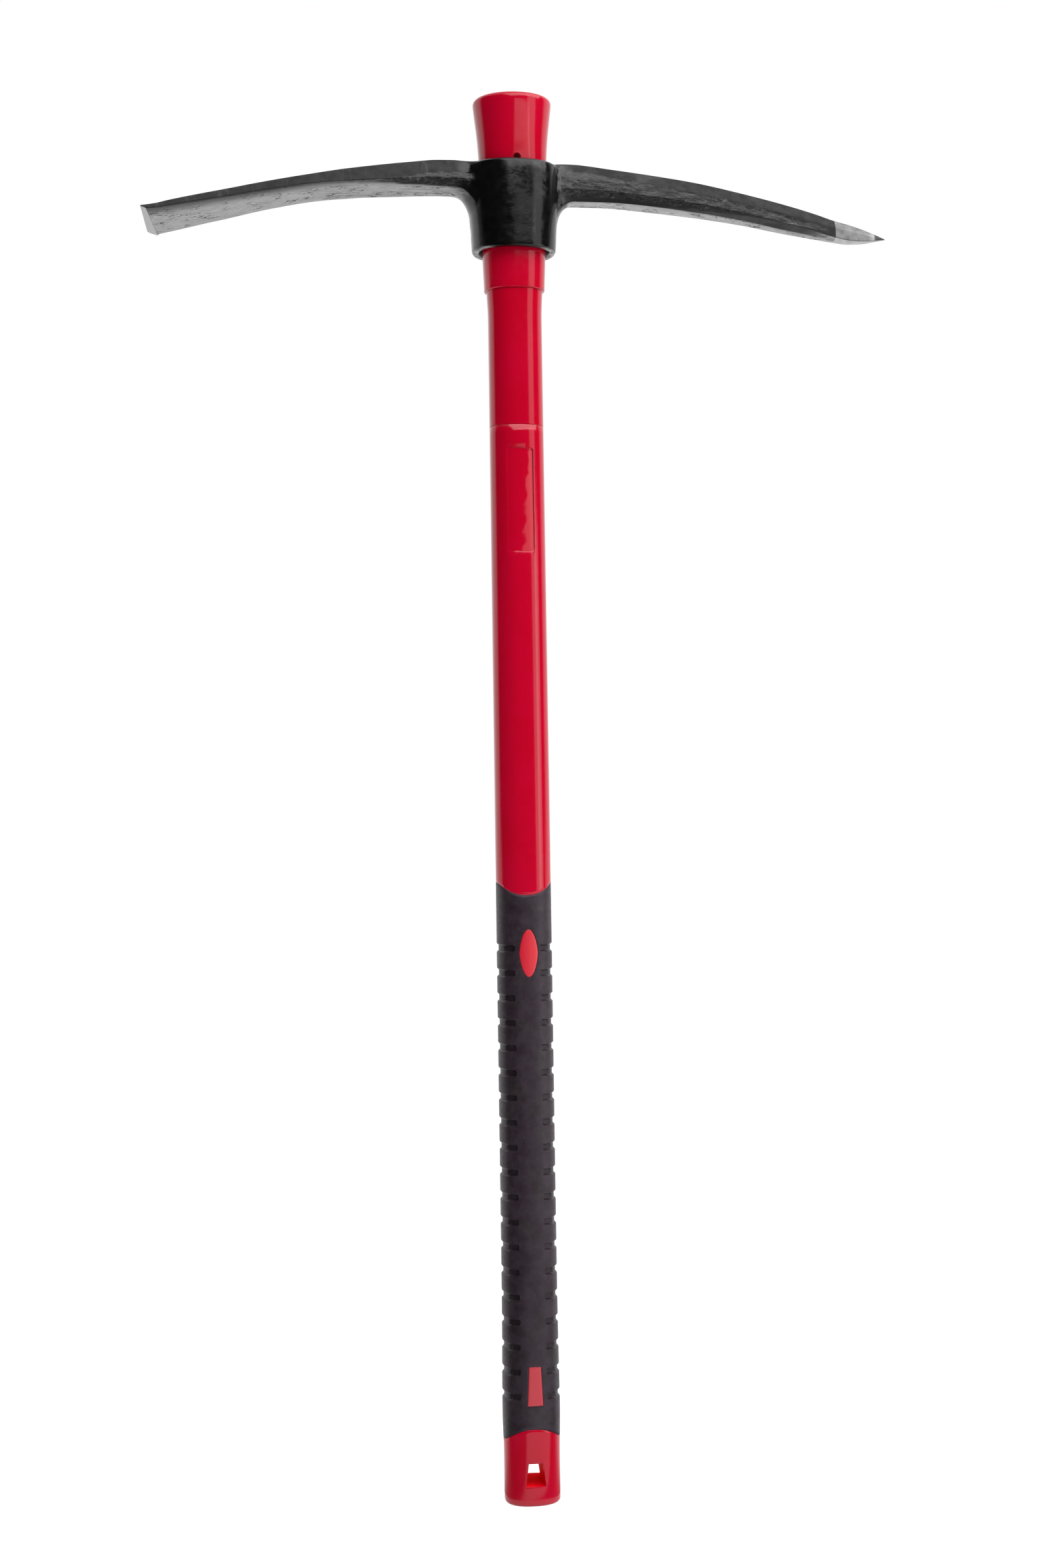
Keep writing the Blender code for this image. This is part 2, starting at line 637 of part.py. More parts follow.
def pick_head(finish):
    """One forging: the eye, the adze blade and the pick point, bored through for the handle."""
    head = part("pick_head", skin([eye_ring(*section) for section in EYE_SECTIONS]), finish)
    blade = arm_rings(BLADE_SECTIONS[:-1], BLADE_FILLET) + blade_tip_rings()
    blade = [[(-x, y, z) for x, y, z in ring] for ring in blade]
    combine(head, part("blade_arm", skin(blade)), "UNION")
    combine(head, part("pick_arm", skin(arm_rings(PICK_SECTIONS, PICK_FILLET))), "UNION")
    combine(head, eye_bore(), "DIFFERENCE")
    return head


def main():
    clear_scene()
    red = material("red_plastic", RED, RED_ROUGHNESS)
    fibreglass_core(material("fibreglass", GLASS_FIBRE, FIBRE_ROUGHNESS))
    head_end_moulding(red)
    upper_jacket(red)
    lower_jacket(red)
    rubber_grip(material("black_rubber", RUBBER, RUBBER_ROUGHNESS))
    pick_head(material("black_painted_steel", BLACK_PAINT, PAINT_ROUGHNESS))


main()
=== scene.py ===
"""Looks of the pickaxe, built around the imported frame. Metres, +Z up, the front is -Y."""

from math import asin, atan2, copysign, cos, dist, pi, radians, sin

import bmesh
import bpy
from mathutils import Matrix, Vector, noise


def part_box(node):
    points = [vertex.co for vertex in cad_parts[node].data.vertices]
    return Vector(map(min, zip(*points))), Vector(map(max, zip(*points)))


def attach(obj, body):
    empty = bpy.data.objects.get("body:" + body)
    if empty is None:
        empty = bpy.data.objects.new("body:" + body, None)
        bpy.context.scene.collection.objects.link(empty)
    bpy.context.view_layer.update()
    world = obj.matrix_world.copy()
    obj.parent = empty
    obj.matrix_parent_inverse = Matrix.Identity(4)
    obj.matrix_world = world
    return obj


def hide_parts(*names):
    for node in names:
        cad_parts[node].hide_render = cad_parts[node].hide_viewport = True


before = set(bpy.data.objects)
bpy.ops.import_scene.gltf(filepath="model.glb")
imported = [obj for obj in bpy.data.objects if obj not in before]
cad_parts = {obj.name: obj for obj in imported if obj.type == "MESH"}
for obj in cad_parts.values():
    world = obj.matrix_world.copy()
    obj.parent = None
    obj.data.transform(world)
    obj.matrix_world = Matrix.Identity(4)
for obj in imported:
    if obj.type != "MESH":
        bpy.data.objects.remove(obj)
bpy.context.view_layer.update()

MM = 0.001

# Camera: its turn about the handle, roll, distance from the handle's axis, height and sideways shift
VIEW_YAW = radians(8)
VIEW_ROLL = radians(0.867)
VIEW_DISTANCE = 1.402
VIEW_HEIGHT = 0.4608
VIEW_SIDE = 0.00047
SENSOR = 36.0
FOCAL_PIXELS = 3268.0
IMAGE_HEIGHT = 2352

AWAY = Vector((sin(VIEW_YAW), cos(VIEW_YAW), 0))
RIGHT = Vector((cos(VIEW_YAW), -sin(VIEW_YAW), 0))
UP = Vector((0, 0, 1))

# World: white behind the object, as far round as its sides mirror it, pale overhead and dim in front
STUDIO_GLOW = 0.02
BACK_GLOW = 1.0
BACK_TURN = radians(-3)
BACK = AWAY * cos(BACK_TURN) + RIGHT * sin(BACK_TURN)
BACK_RAMP = (0.10, 0.36)
TOP_GLOW = 0.8
TOP_RAMP = (0.60, 0.85)

# Floor: white to the camera and behind the object, with the object's soft shadow. What the object mirrors
# of it is white behind, dark in front, and painted pools of light close by on the side of the lamps
FLOOR_HALF = 12.0
FLOOR_GLOW = 0.93
FLOOR_SHADE = 0.30
FLOOR_WHITE = 0.72
FRONT_RAMP = (-0.03, 0.07)
NEAR_GLOW = 0.85
NEAR_REACH = (0.35, 0.60)
NEAR_LEFT_EDGE = (-0.022, -0.004)
NEAR_RIGHT_EDGE = (0.019, 0.032)
NEAR_RIGHT_TURN = radians(16)
SIDE_GLOW = 0.85
SIDE_REACH = (0.05, 0.50)
SIDE_END = (2.0, 3.5)
FOOT_GLOW = 1.0
FOOT_REACH = (0.026, 0.032)

# Softboxes: direction right of the camera's axis and up from the studio's centre, distance, width, height
# and radiance
SOFTBOXES = {
    "key": (42, 50, 1.9, 3.0, 1.5, 2.8),
    "side_strip": (57, 12, 1.9, 0.80, 1.9, 1.2),
    "side_lamp": (69, -2, 1.9, 0.70, 0.75, 1.5),
    "top_card": (30, 39, 0.585, 0.31, 0.045, 1.3),
}
STUDIO_CENTRE = Vector((0.0, 0.0, 0.55))

# Handle: places read from the frame, and the sections of the jacket and of the flared end
HANDLE_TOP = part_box("head_end_moulding")[1].z
COLLAR_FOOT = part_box("head_end_moulding")[0].z
JACKET_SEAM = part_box("lower_jacket")[1].z
CORE_LOW, CORE_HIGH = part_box("fibreglass_core")
GRIP_LOW, GRIP_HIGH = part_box("rubber_grip")
GAP = 0.3 * MM
GRIP_WAVE = 8 * MM
GRIP_TOP_SIDE = GRIP_HIGH.z + GAP
GRIP_TOP_FRONT = GRIP_TOP_SIDE - GRIP_WAVE
GRIP_FOOT_SIDE = GRIP_LOW.z - GAP
GRIP_FOOT_FRONT = GRIP_FOOT_SIDE + GRIP_WAVE
GRIP_TOP_HALF_Y = 0.0154
GRIP_THICKNESS = 2.3 * MM
OVAL_POWER = 2.3
JACKET_SECTIONS = (
    (0.0000, 0.0180, 0.0150),
    (0.0300, 0.0180, 0.0151),
    (0.0600, 0.0185, 0.0156),
    (0.1120, 0.0180, 0.0154),
    (0.1630, 0.0178, 0.0153),
    (0.3600, 0.0177, 0.0154),
    (0.5900, 0.0174, 0.0158),
    (0.7600, 0.0172, 0.0160),
    (0.7770, 0.0179, 0.0164),
)
FLARE_SECTIONS = (
    (0.7770, 0.0193, 0.0176, OVAL_POWER),
    (0.7980, 0.0201, 0.0182, OVAL_POWER),
    (0.8350, 0.0209, 0.0188, OVAL_POWER),
    (0.8570, 0.0216, 0.0193, OVAL_POWER),
    (0.8700, 0.0223, 0.0205, 2.2),
    (0.8965, 0.0252, 0.0236, 2.05),
)
HANDLE_POINTS = 144
RING_STEP = 5 * MM
TOP_EDGE_RADIUS = 3.2 * MM
BUTT_EDGE_RADIUS = 2.5 * MM
SEAM_EDGE = 0.15 * MM
COLLAR_CHAMFER = 0.8 * MM
FLASH_REACH = 0.25 * MM

# Details of the mouldings, the heights between which painted shade darkens the red towards the head, and
# how soft the edge of a duller zone is
UPPER_SHADE = (0.45, 0.75)
ZONE_EDGE = 0.3 * MM
PIN_HOLE_RADIUS = 2.4 * MM
PIN_HOLE_HEIGHT = 0.8592
PIN_HOLE_SIDE = 0.5 * MM
PIN_HOLE_POINTS = 48
RECESS_FOOT = 0.6090
RECESS_TOP = 0.6750
RECESS_MIDDLE = (RECESS_FOOT + RECESS_TOP) / 2
RECESS_HALF_WIDTH = 8.4 * MM
RECESS_CORNER = 1.6 * MM
RECESS_DEPTH = 0.30 * MM
RECESS_LEAN = (0.6, 0.5)
LANYARD_FOOT = 0.0130
LANYARD_TOP = 0.0276
LANYARD_HALF_FOOT = 6.3 * MM
LANYARD_HALF_TOP = 4.5 * MM
LANYARD_SIDE = 0.5 * MM
LANYARD_LIP = 0.9 * MM
PAD_PROUD = 0.2 * MM
PAD_ROOT = 3.0 * MM
PAD_SIDE = 0.7 * MM
LENS_PAD_HEIGHT = 0.3530
LENS_PAD_HALF_HEIGHT = 15.1 * MM
LENS_PAD_HALF_WIDTH = 5.95 * MM
LENS_PAD_POWER = 1.5
WEDGE_PAD_FOOT = 0.0647
WEDGE_PAD_TOP = 0.0894
WEDGE_PAD_HALF_FOOT = 5.0 * MM
WEDGE_PAD_HALF_TOP = 3.8 * MM

# Grooves of the grip: mouth and floor at the sides, and the deeper pocket where each one ends
GROOVE_COUNT = 19
FIRST_GROOVE = 0.0700
LAST_GROOVE = 0.3560
GROOVE_END = radians(66)
GROOVE_MOUTH = 3.0 * MM
GROOVE_FLOOR = 1.5 * MM
GROOVE_DEPTH = 1.2 * MM
POCKET_MOUTH = 2.2 * MM
POCKET_FLOOR = 1.5 * MM
POCKET_DEPTH = 2.0 * MM
POCKET_LENGTH = 7.0 * MM
POCKET_RAMP = 2.6 * MM
GROOVE_ZONE = 3.2 * MM
GROOVE_STEP = 0.36 * MM
LAND_STEP = 2.2 * MM

# Head: its eye, bore and arms. An arm's section is its distance from the handle's axis, the heights of its
# underside and top, its half widths at the widest, across the underside flat and across the top flat, and the
# share of its height at which it is widest
EYE_FOOT = 0.8015
EYE_TOP = 0.8570
EYE_POWER = 2.25
EYE_POINTS = 220
EYE_TILT = 0.014
EYE_SECTIONS = (
    (0.8015, 0.0254, 0.0241),
    (0.8018, 0.0261, 0.0246),
    (0.8030, 0.0268, 0.0250),
    (0.8060, 0.0271, 0.0251),
    (0.8150, 0.0275, 0.0253),
    (0.8250, 0.0283, 0.0256),
    (0.8350, 0.0288, 0.0258),
    (0.8500, 0.0288, 0.0258),
    (0.8558, 0.0284, 0.0255),
    (0.8570, 0.0274, 0.0245),
)
BORE_FOOT = (0.0224, 0.0199)
BORE_TOP = (0.0219, 0.0196)
BORE_LEAD = 1.0 * MM
BORE_MOUTH = 3.0 * MM
PAST_END = 2.0 * MM
BLADE_SECTIONS = (
    (0.0300, 0.8409, 0.8576, 0.0144, 0.0119, 0.0112, 0.30),
    (0.0400, 0.8408, 0.8585, 0.0144, 0.0120, 0.0112, 0.30),
    (0.0500, 0.8411, 0.8582, 0.0149, 0.0128, 0.0117, 0.30),
    (0.0650, 0.8411, 0.8562, 0.0165, 0.0145, 0.0137, 0.27),
    (0.0800, 0.8410, 0.8538, 0.0187, 0.0168, 0.0162, 0.20),
    (0.0950, 0.8406, 0.8514, 0.0201, 0.0183, 0.0180, 0.14),
    (0.1100, 0.8397, 0.8489, 0.0211, 0.0194, 0.0193, 0.12),
    (0.1250, 0.8383, 0.8460, 0.0220, 0.0204, 0.0205, 0.12),
    (0.1550, 0.8333, 0.8397, 0.0242, 0.0228, 0.0230, 0.12),
    (0.1850, 0.8269, 0.8323, 0.0278, 0.0266, 0.0268, 0.12),
    (0.2150, 0.8205, 0.8247, 0.0317, 0.0307, 0.0309, 0.12),
    (0.2240, 0.8186, 0.8221, 0.0327, 0.0318, 0.0320, 0.12),
    (0.2294, 0.8175, 0.8203, 0.0333, 0.0325, 0.0327, 0.12),
)
PICK_SECTIONS = (
    (0.0300, 0.8343, 0.8588, 0.0110, 0.0072, 0.0066, 0.30),
    (0.0400, 0.8343, 0.8586, 0.0110, 0.0072, 0.0066, 0.30),
    (0.0500, 0.8343, 0.8577, 0.0109, 0.0072, 0.0065, 0.30),
    (0.0600, 0.8342, 0.8565, 0.0108, 0.0072, 0.0064, 0.30),
    (0.0900, 0.8321, 0.8529, 0.0107, 0.0077, 0.0064, 0.28),
    (0.1200, 0.8289, 0.8487, 0.0102, 0.0066, 0.0060, 0.26),
    (0.1500, 0.8246, 0.8428, 0.0094, 0.0052, 0.0054, 0.24),
    (0.1800, 0.8190, 0.8360, 0.0083, 0.0040, 0.0046, 0.22),
    (0.2000, 0.8156, 0.8307, 0.0074, 0.0029, 0.0038, 0.19),
    (0.2120, 0.8138, 0.8270, 0.0067, 0.0022, 0.0033, 0.10),
    (0.2230, 0.8129, 0.8244, 0.0055, 0.0018, 0.0025, 0.05),
    (0.2330, 0.8133, 0.8215, 0.0039, 0.0013, 0.0016, 0.04),
    (0.2400, 0.8145, 0.8190, 0.0024, 0.0008, 0.0009, 0.04),
    (0.2452, 0.8153, 0.8169, 0.0010, 0.0004, 0.0004, 0.07),
    (0.2470, 0.8156, 0.8161, 0.0003, 0.0001, 0.0001, 0.07),
)
BLADE_LENGTH = 0.2344
BLADE_EDGE_HEIGHT = 0.8195
BLADE_EDGE_THICKNESS = 0.5 * MM
BLADE_EDGE_HALF = 0.0338
BEVEL_LENGTH = 5.0 * MM
BLADE_HEEL = BLADE_LENGTH - BEVEL_LENGTH
FRONT_CORNER = 1.0 * MM
BACK_CORNER = 5.5 * MM
HEEL_SLANT = 2.8 * MM
EDGE_SLANT = 1.3 * MM
CORNER_STEPS = 10
BELLY_SHARE = 0.12
SHOULDER_SHARE = 0.62
BLADE_DRAFT = 0.20
PICK_DRAFT = 0.07
EDGE_ROUND = 1.1 * MM
BELLY_ROUND = 0.5 * MM
EDGE_SHARE = 0.4
CORNER_POINTS = 5
FACET_POINTS = (30, 9, 7, 9, 14)
ARM_STEP = 1.0 * MM

# Fillets from the arms to the eye: reach along the arm and along the eye's wall, below and beside, and the
# height of their top
BLADE_FILLET = (0.0160, 0.0220, 0.0060, 0.0055, 0.8573)
PICK_FILLET = (0.0120, 0.0200, 0.0036, 0.0044, 0.8588)
FILLET_STEPS = 16
FILLET_SINK = 0.2 * MM
TOP_FILLET_GAIN = 0.9
ROOT_DEPTH = 12 * MM
SMOOTH_REACH = (0.020, 0.047)
SMOOTH_ROUNDS = 3
SMOOTH_FOOT = EYE_FOOT + 2 * MM
SMOOTH_TOP = EYE_TOP - 1.5 * MM
PLAIN_REACH = 0.035

# Marks of forging and grinding: the ridges at the pick's root, where the bright point starts, where it
# carries a painted highlight and where it darkens, and the rough band on the arms' sides as distances from
# the handle's axis with the shares of the arm's height between which it lies
RIDGES = (0.0291, 0.0303)
RIDGE_FOOT = 0.8200
RIDGE_TOP = 0.8520
POINT_BORDER = 0.2121
POINT_MIDDLE = 0.8201
POINT_CURVE = 3.0
POINT_GLINT = (0.2345, 0.2388)
POINT_DARK = (0.2388, 0.2404)
BLADE_BAND = (
    (0.0280, 0.02, 0.55),
    (0.0500, 0.04, 0.50),
    (0.0700, 0.05, 0.36),
    (0.0850, 0.06, 0.20),
    (0.0980, 0.07, 0.05),
)
PICK_BAND = (
    (0.0280, 0.10, 0.84),
    (0.0400, 0.12, 0.80),
    (0.0700, 0.12, 0.68),
    (0.1100, 0.10, 0.60),
    (0.1600, 0.20, 0.56),
    (0.1950, 0.30, 0.50),
    (0.2080, 0.35, 0.45),
)
BAND_RAGGED = 0.06

# Dents: their depths, and how many waves of them a metre has
BAND_DENTS = 0.26 * MM
BAND_GRAIN = 0.10 * MM
UNDERSIDE_DENTS = 0.10 * MM
SKIN_DENTS = 0.04 * MM
RAGGED_WAVES = 300
BAND_WAVES = Vector((170, 300, 300))
GRAIN_WAVES = 650
UNDERSIDE_WAVES = Vector((70, 160, 160))
SKIN_WAVES = 110


def add_object(name, data):
    obj = bpy.data.objects.new(name, data)
    bpy.context.scene.collection.objects.link(obj)
    return obj


def add_camera():
    data = bpy.data.cameras.new("camera")
    data.sensor_fit = "VERTICAL"
    data.sensor_height = SENSOR
    data.lens = FOCAL_PIXELS / IMAGE_HEIGHT * SENSOR
    data.clip_start = 0.01
    camera = add_object("camera", data)
    across = RIGHT * cos(VIEW_ROLL) - UP * sin(VIEW_ROLL)
    upward = RIGHT * sin(VIEW_ROLL) + UP * cos(VIEW_ROLL)
    pose = Matrix((across, upward, -AWAY)).transposed().to_4x4()
    pose.translation = -VIEW_DISTANCE * AWAY + VIEW_SIDE * RIGHT + VIEW_HEIGHT * UP
    camera.matrix_world = pose
    bpy.context.scene.camera = camera


class Nodes:
    """Short calls for building a node tree."""

    def __init__(self, tree):
        self.tree = tree
        tree.nodes.clear()
        self.coordinates = self.add("ShaderNodeTexCoord").outputs
        self.place = self.coordinates["Object"]

    def put(self, node, key, value):
        """Sets or links an input; a colour is three numbers, or one for a grey."""
        socket = node.inputs[key]
        if isinstance(value, bpy.types.NodeSocket):
            self.tree.links.new(value, socket)
        elif socket.type == "RGBA":
            socket.default_value = (*(value if isinstance(value, tuple) else (value,) * 3), 1)
        else:
            socket.default_value = value

    def add(self, kind, inputs=None, **settings):
        node = self.tree.nodes.new(kind)
        for key, value in settings.items():
            setattr(node, key, value)
        for key, value in (inputs or {}).items():
            self.put(node, key, value)
        return node

    def math(self, operation, first, second=0.0):
        return self.add("ShaderNodeMath", {0: first, 1: second}, operation=operation).outputs[0]

    def product(self, first, *others):
        for other in others:
            first = self.math("MULTIPLY", first, other)
        return first

    def away(self, value, middle):
        """How far a value is from a middle one."""
        return self.math("ABSOLUTE", self.math("SUBTRACT", value, middle))

    def ramp(self, value, low, high, to_low=0.0, to_high=1.0):
        """A smooth step of a value from one span to another."""
        ranges = {"Value": value, "From Min": low, "From Max": high, "To Min": to_low, "To Max": to_high}
        return self.add("ShaderNodeMapRange", ranges, interpolation_type="SMOOTHSTEP").outputs["Result"]

    def fall(self, value, low, high):
        return self.ramp(value, low, high, 1.0, 0.0)

    def along(self, place, way):
        """How far a vector reaches along a direction."""
        return self.add("ShaderNodeVectorMath", {0: place, 1: way}, operation="DOT_PRODUCT").outputs["Value"]

    def blend(self, share, first, second):
        """Mixes two numbers."""
        return self.add("ShaderNodeMix", {0: share, 2: first, 3: second}).outputs[0]

    def mix(self, share, first, second):
        """Mixes two colours."""
        return self.add("ShaderNodeMix", {0: share, 6: first, 7: second}, data_type="RGBA").outputs[2]

    def noise(self, scale, detail=3.0, roughness=0.5, stretch=None):
        place = self.place
        if stretch:
            place = self.add("ShaderNodeMapping", {"Vector": place, "Scale": stretch}).outputs["Vector"]
        inputs = {"Vector": place, "Scale": scale, "Detail": detail, "Roughness": roughness}
        return self.add("ShaderNodeTexNoise", inputs).outputs["Fac"]

    def bump(self, height, distance, strength=1.0, **others):
        inputs = {"Height": height, "Distance": distance, "Strength": strength, **others}
        return self.add("ShaderNodeBump", inputs).outputs["Normal"]


def add_world():
    world = bpy.data.worlds.new("studio")
    bpy.context.scene.world = world
    world.use_nodes = True
    n = Nodes(world.node_tree)
    direction = n.coordinates["Generated"]
    behind = n.ramp(n.along(direction, BACK), *BACK_RAMP, STUDIO_GLOW, BACK_GLOW)
    above = n.ramp(n.along(direction, UP), *TOP_RAMP, STUDIO_GLOW, TOP_GLOW)
    seen = n.add("ShaderNodeLightPath").outputs["Is Camera Ray"]
    strength = n.blend(seen, n.math("MAXIMUM", behind, above), 1.0)
    sky = n.add("ShaderNodeBackground", {"Color": 1, "Strength": strength})
    n.add("ShaderNodeOutputWorld", {"Surface": sky.outputs[0]})


def start_material(name):
    made = bpy.data.materials.new(name)
    made.use_nodes = True
    return made, Nodes(made.node_tree)


def add_floor():
    mesh = bpy.data.meshes.new("floor")
    corners = [(x * FLOOR_HALF, y * FLOOR_HALF, 0.0) for x, y in ((-1, -1), (1, -1), (1, 1), (-1, 1))]
    mesh.from_pydata(corners, [], [(0, 1, 2, 3)])
    floor = add_object("floor", mesh)
    made, n = start_material("floor")
    path = n.add("ShaderNodeLightPath").outputs
    behind = n.ramp(n.along(n.place, BACK), *FRONT_RAMP, STUDIO_GLOW, BACK_GLOW)
    edge = -AWAY * cos(NEAR_RIGHT_TURN) - RIGHT * sin(NEAR_RIGHT_TURN)
    right = n.along(n.place, RIGHT)
    distance = n.add("ShaderNodeVectorMath", {0: n.place}, operation="LENGTH").outputs["Value"]
    # painted light: pools that glow for mirrored rays alone, beside the butt towards the lamps, round its
    # foot and further out to the right
    within = n.product(n.ramp(right, *NEAR_LEFT_EDGE), n.ramp(n.along(n.place, edge), *NEAR_RIGHT_EDGE))
    near = n.product(within, n.ramp(distance, *NEAR_REACH, NEAR_GLOW, 0.0))
    near = n.math("MAXIMUM", near, n.ramp(distance, *FOOT_REACH, FOOT_GLOW, 0.0))
    aside = n.product(n.ramp(right, *SIDE_REACH, STUDIO_GLOW, SIDE_GLOW), n.ramp(distance, *NEAR_REACH))
    near = n.math("MAXIMUM", near, n.product(aside, n.fall(distance, *SIDE_END)))
    shade = n.add("ShaderNodeBsdfDiffuse", {"Color": FLOOR_SHADE}).outputs[0]
    glow = n.add("ShaderNodeEmission", {"Color": 1, "Strength": FLOOR_GLOW}).outputs[0]
    shown = n.add("ShaderNodeAddShader", {0: shade, 1: glow}).outputs[0]
    strength = n.math("MAXIMUM", behind, near)
    mirrored = n.add("ShaderNodeEmission", {"Color": 1, "Strength": strength}).outputs[0]
    plain = n.add("ShaderNodeBsdfDiffuse", {"Color": FLOOR_WHITE}).outputs[0]
    surface = n.add("ShaderNodeMixShader", {0: path["Is Glossy Ray"], 1: plain, 2: mirrored}).outputs[0]
    clear = n.math("MAXIMUM", path["Is Camera Ray"], path["Is Transmission Ray"])
    surface = n.add("ShaderNodeMixShader", {0: clear, 1: surface, 2: shown}).outputs[0]
    n.add("ShaderNodeOutputMaterial", {"Surface": surface})
    mesh.materials.append(made)


def add_softbox(name, right, up, distance, width, height, radiance):
    turn, rise = radians(right), radians(up)
    towards = (RIGHT * sin(turn) - AWAY * cos(turn)) * cos(rise) + UP * sin(rise)
    data = bpy.data.lights.new(name, "AREA")
    data.shape = "RECTANGLE"
    data.size = width
    data.size_y = height
    data.energy = radiance * pi * width * height
    lamp = add_object(name, data)
    lamp.location = STUDIO_CENTRE + towards * distance
    lamp.rotation_euler = towards.to_track_quat("Z", "Y").to_euler()
    lamp.visible_camera = False


def end_material(made, n, tone, rough, **others):
    shader = n.add("ShaderNodeBsdfPrincipled", {"Base Color": tone, "Roughness": rough, **others})
    n.add("ShaderNodeOutputMaterial", {"Surface": shader.outputs[0]})
    return made


def red_plastic():
    """Glossy red moulding, darkened towards the head by painted shade; the label recess and the pads are
    duller and paler, partly as painted light.
    """
    made, n = start_material("red_plastic")
    side, depth, height = n.add("ShaderNodeSeparateXYZ", {0: n.place}).outputs
    front = n.fall(depth, -5 * MM, 0.0)
    cloud = n.ramp(n.noise(40.0, 2.0), 0.3, 0.7)
    tone = n.mix(cloud, (0.57, 0.0004, 0.020), (0.60, 0.0008, 0.027))
    # painted shade: a darker copy of the red takes over towards the head, where the light is weaker
    shaded_red = n.mix(cloud, (0.53, 0.0004, 0.018), (0.56, 0.0007, 0.024))
    tone = n.mix(n.ramp(height, *UPPER_SHADE), tone, shaded_red)
    rough = n.ramp(n.noise(260.0, 4.0), 0.3, 0.7, 0.10, 0.14)
    # painted highlight: a ragged pale strip at the right of the recess floor; painted shade on its right
    # wall; and the two pads
    edge = n.math("ADD", side, n.product(n.noise(110.0, 4.0), 10 * MM))
    edge = n.math("SUBTRACT", edge, n.product(n.math("SUBTRACT", height, RECESS_MIDDLE), 0.06))
    within = n.fall(side, RECESS_HALF_WIDTH - ZONE_EDGE, RECESS_HALF_WIDTH)
    recess_highlight = n.product(n.ramp(edge, 7.0 * MM, 9.2 * MM), within, front)
    wall_shade = n.product(n.fall(n.away(side, RECESS_HALF_WIDTH - 0.1 * MM), 0.20 * MM, 0.45 * MM), front)
    # the pads are paler partly from their duller finish and partly as painted light; the lens pad is painted
    # lighter towards its right, the side of the lamps
    pad = n.fall(n.math("ABSOLUTE", side), 6 * MM, 8 * MM)
    lens = n.mix(n.ramp(side, -4 * MM, 5 * MM), (0.72, 0.010, 0.035), (0.80, 0.045, 0.060))
    lens_reach = LENS_PAD_HALF_HEIGHT + MM
    spans = (
        (recess_highlight, RECESS_FOOT + 0.3 * MM, RECESS_TOP - 1.5 * MM, (0.62, 0.026, 0.045)),
        (wall_shade, RECESS_FOOT + MM, RECESS_TOP - MM, (0.25, 0.0005, 0.010)),
        (pad, LENS_PAD_HEIGHT - lens_reach, LENS_PAD_HEIGHT + lens_reach, lens),
        (pad, WEDGE_PAD_FOOT - MM, WEDGE_PAD_TOP + MM, (0.62, 0.050, 0.070)),
    )
    for zone, low, high, pale in spans:
        zone = n.product(zone, n.ramp(height, low, low + ZONE_EDGE), n.fall(height, high - ZONE_EDGE, high))
        tone = n.mix(zone, tone, pale)
        rough = n.blend(zone, rough, 0.34)
    # the paler edge of the plastic along the top of the grip
    share = n.math("DIVIDE", n.math("ABSOLUTE", depth), GRIP_TOP_HALF_Y)
    bow = n.product(n.math("POWER", share, OVAL_POWER), GRIP_WAVE)
    above = n.math("SUBTRACT", n.math("ADD", height, bow), GRIP_TOP_SIDE)
    border = n.product(n.fall(above, 0.3 * MM, 0.9 * MM), n.ramp(above, -MM, 0.0), 0.8)
    tone = n.mix(border, tone, (0.68, 0.040, 0.070))
    grain = n.bump(n.noise(900.0, 3.0), 0.01 * MM)
    return end_material(made, n, tone, rough, Normal=grain)


def inner_plastic():
    """The same plastic inside the lanyard hole, where the tool that formed it left it dull, and a brighter
    red there as painted light.
    """
    made, n = start_material("red_plastic_inside_painted_glow")
    cloud = n.noise(300.0, 2.0)
    # painted light: a brighter red than outside, standing in for light that comes through the plastic into
    # the hole
    tone = n.mix(n.ramp(cloud, 0.3, 0.7), (0.86, 0.0006, 0.008), (0.94, 0.0010, 0.014))
    grain = n.bump(n.noise(700.0, 3.0), 0.03 * MM)
    return end_material(made, n, tone, 0.5, IOR=1.02, Normal=grain)


def rubber():
    made, n = start_material("grip_rubber")
    cloud = n.ramp(n.noise(130.0, 5.0, 0.6), 0.32, 0.68)
    tone = n.mix(cloud, (0.025, 0.013, 0.022), (0.042, 0.026, 0.040))
    tint = n.ramp(n.noise(60.0, 2.0), 0.50, 0.66)
    tone = n.mix(tint, tone, n.mix(cloud, (0.024, 0.015, 0.019), (0.040, 0.029, 0.036)))
    speck = n.ramp(n.noise(1100.0, 1.0), 0.74, 0.80)
    tone = n.mix(speck, tone, (0.09, 0.08, 0.085))
    rough = n.ramp(n.noise(500.0, 4.0), 0.3, 0.7, 0.38, 0.50)
    grain = n.bump(n.noise(1600.0, 3.0), 0.02 * MM)
    return end_material(made, n, tone, rough, Normal=grain)


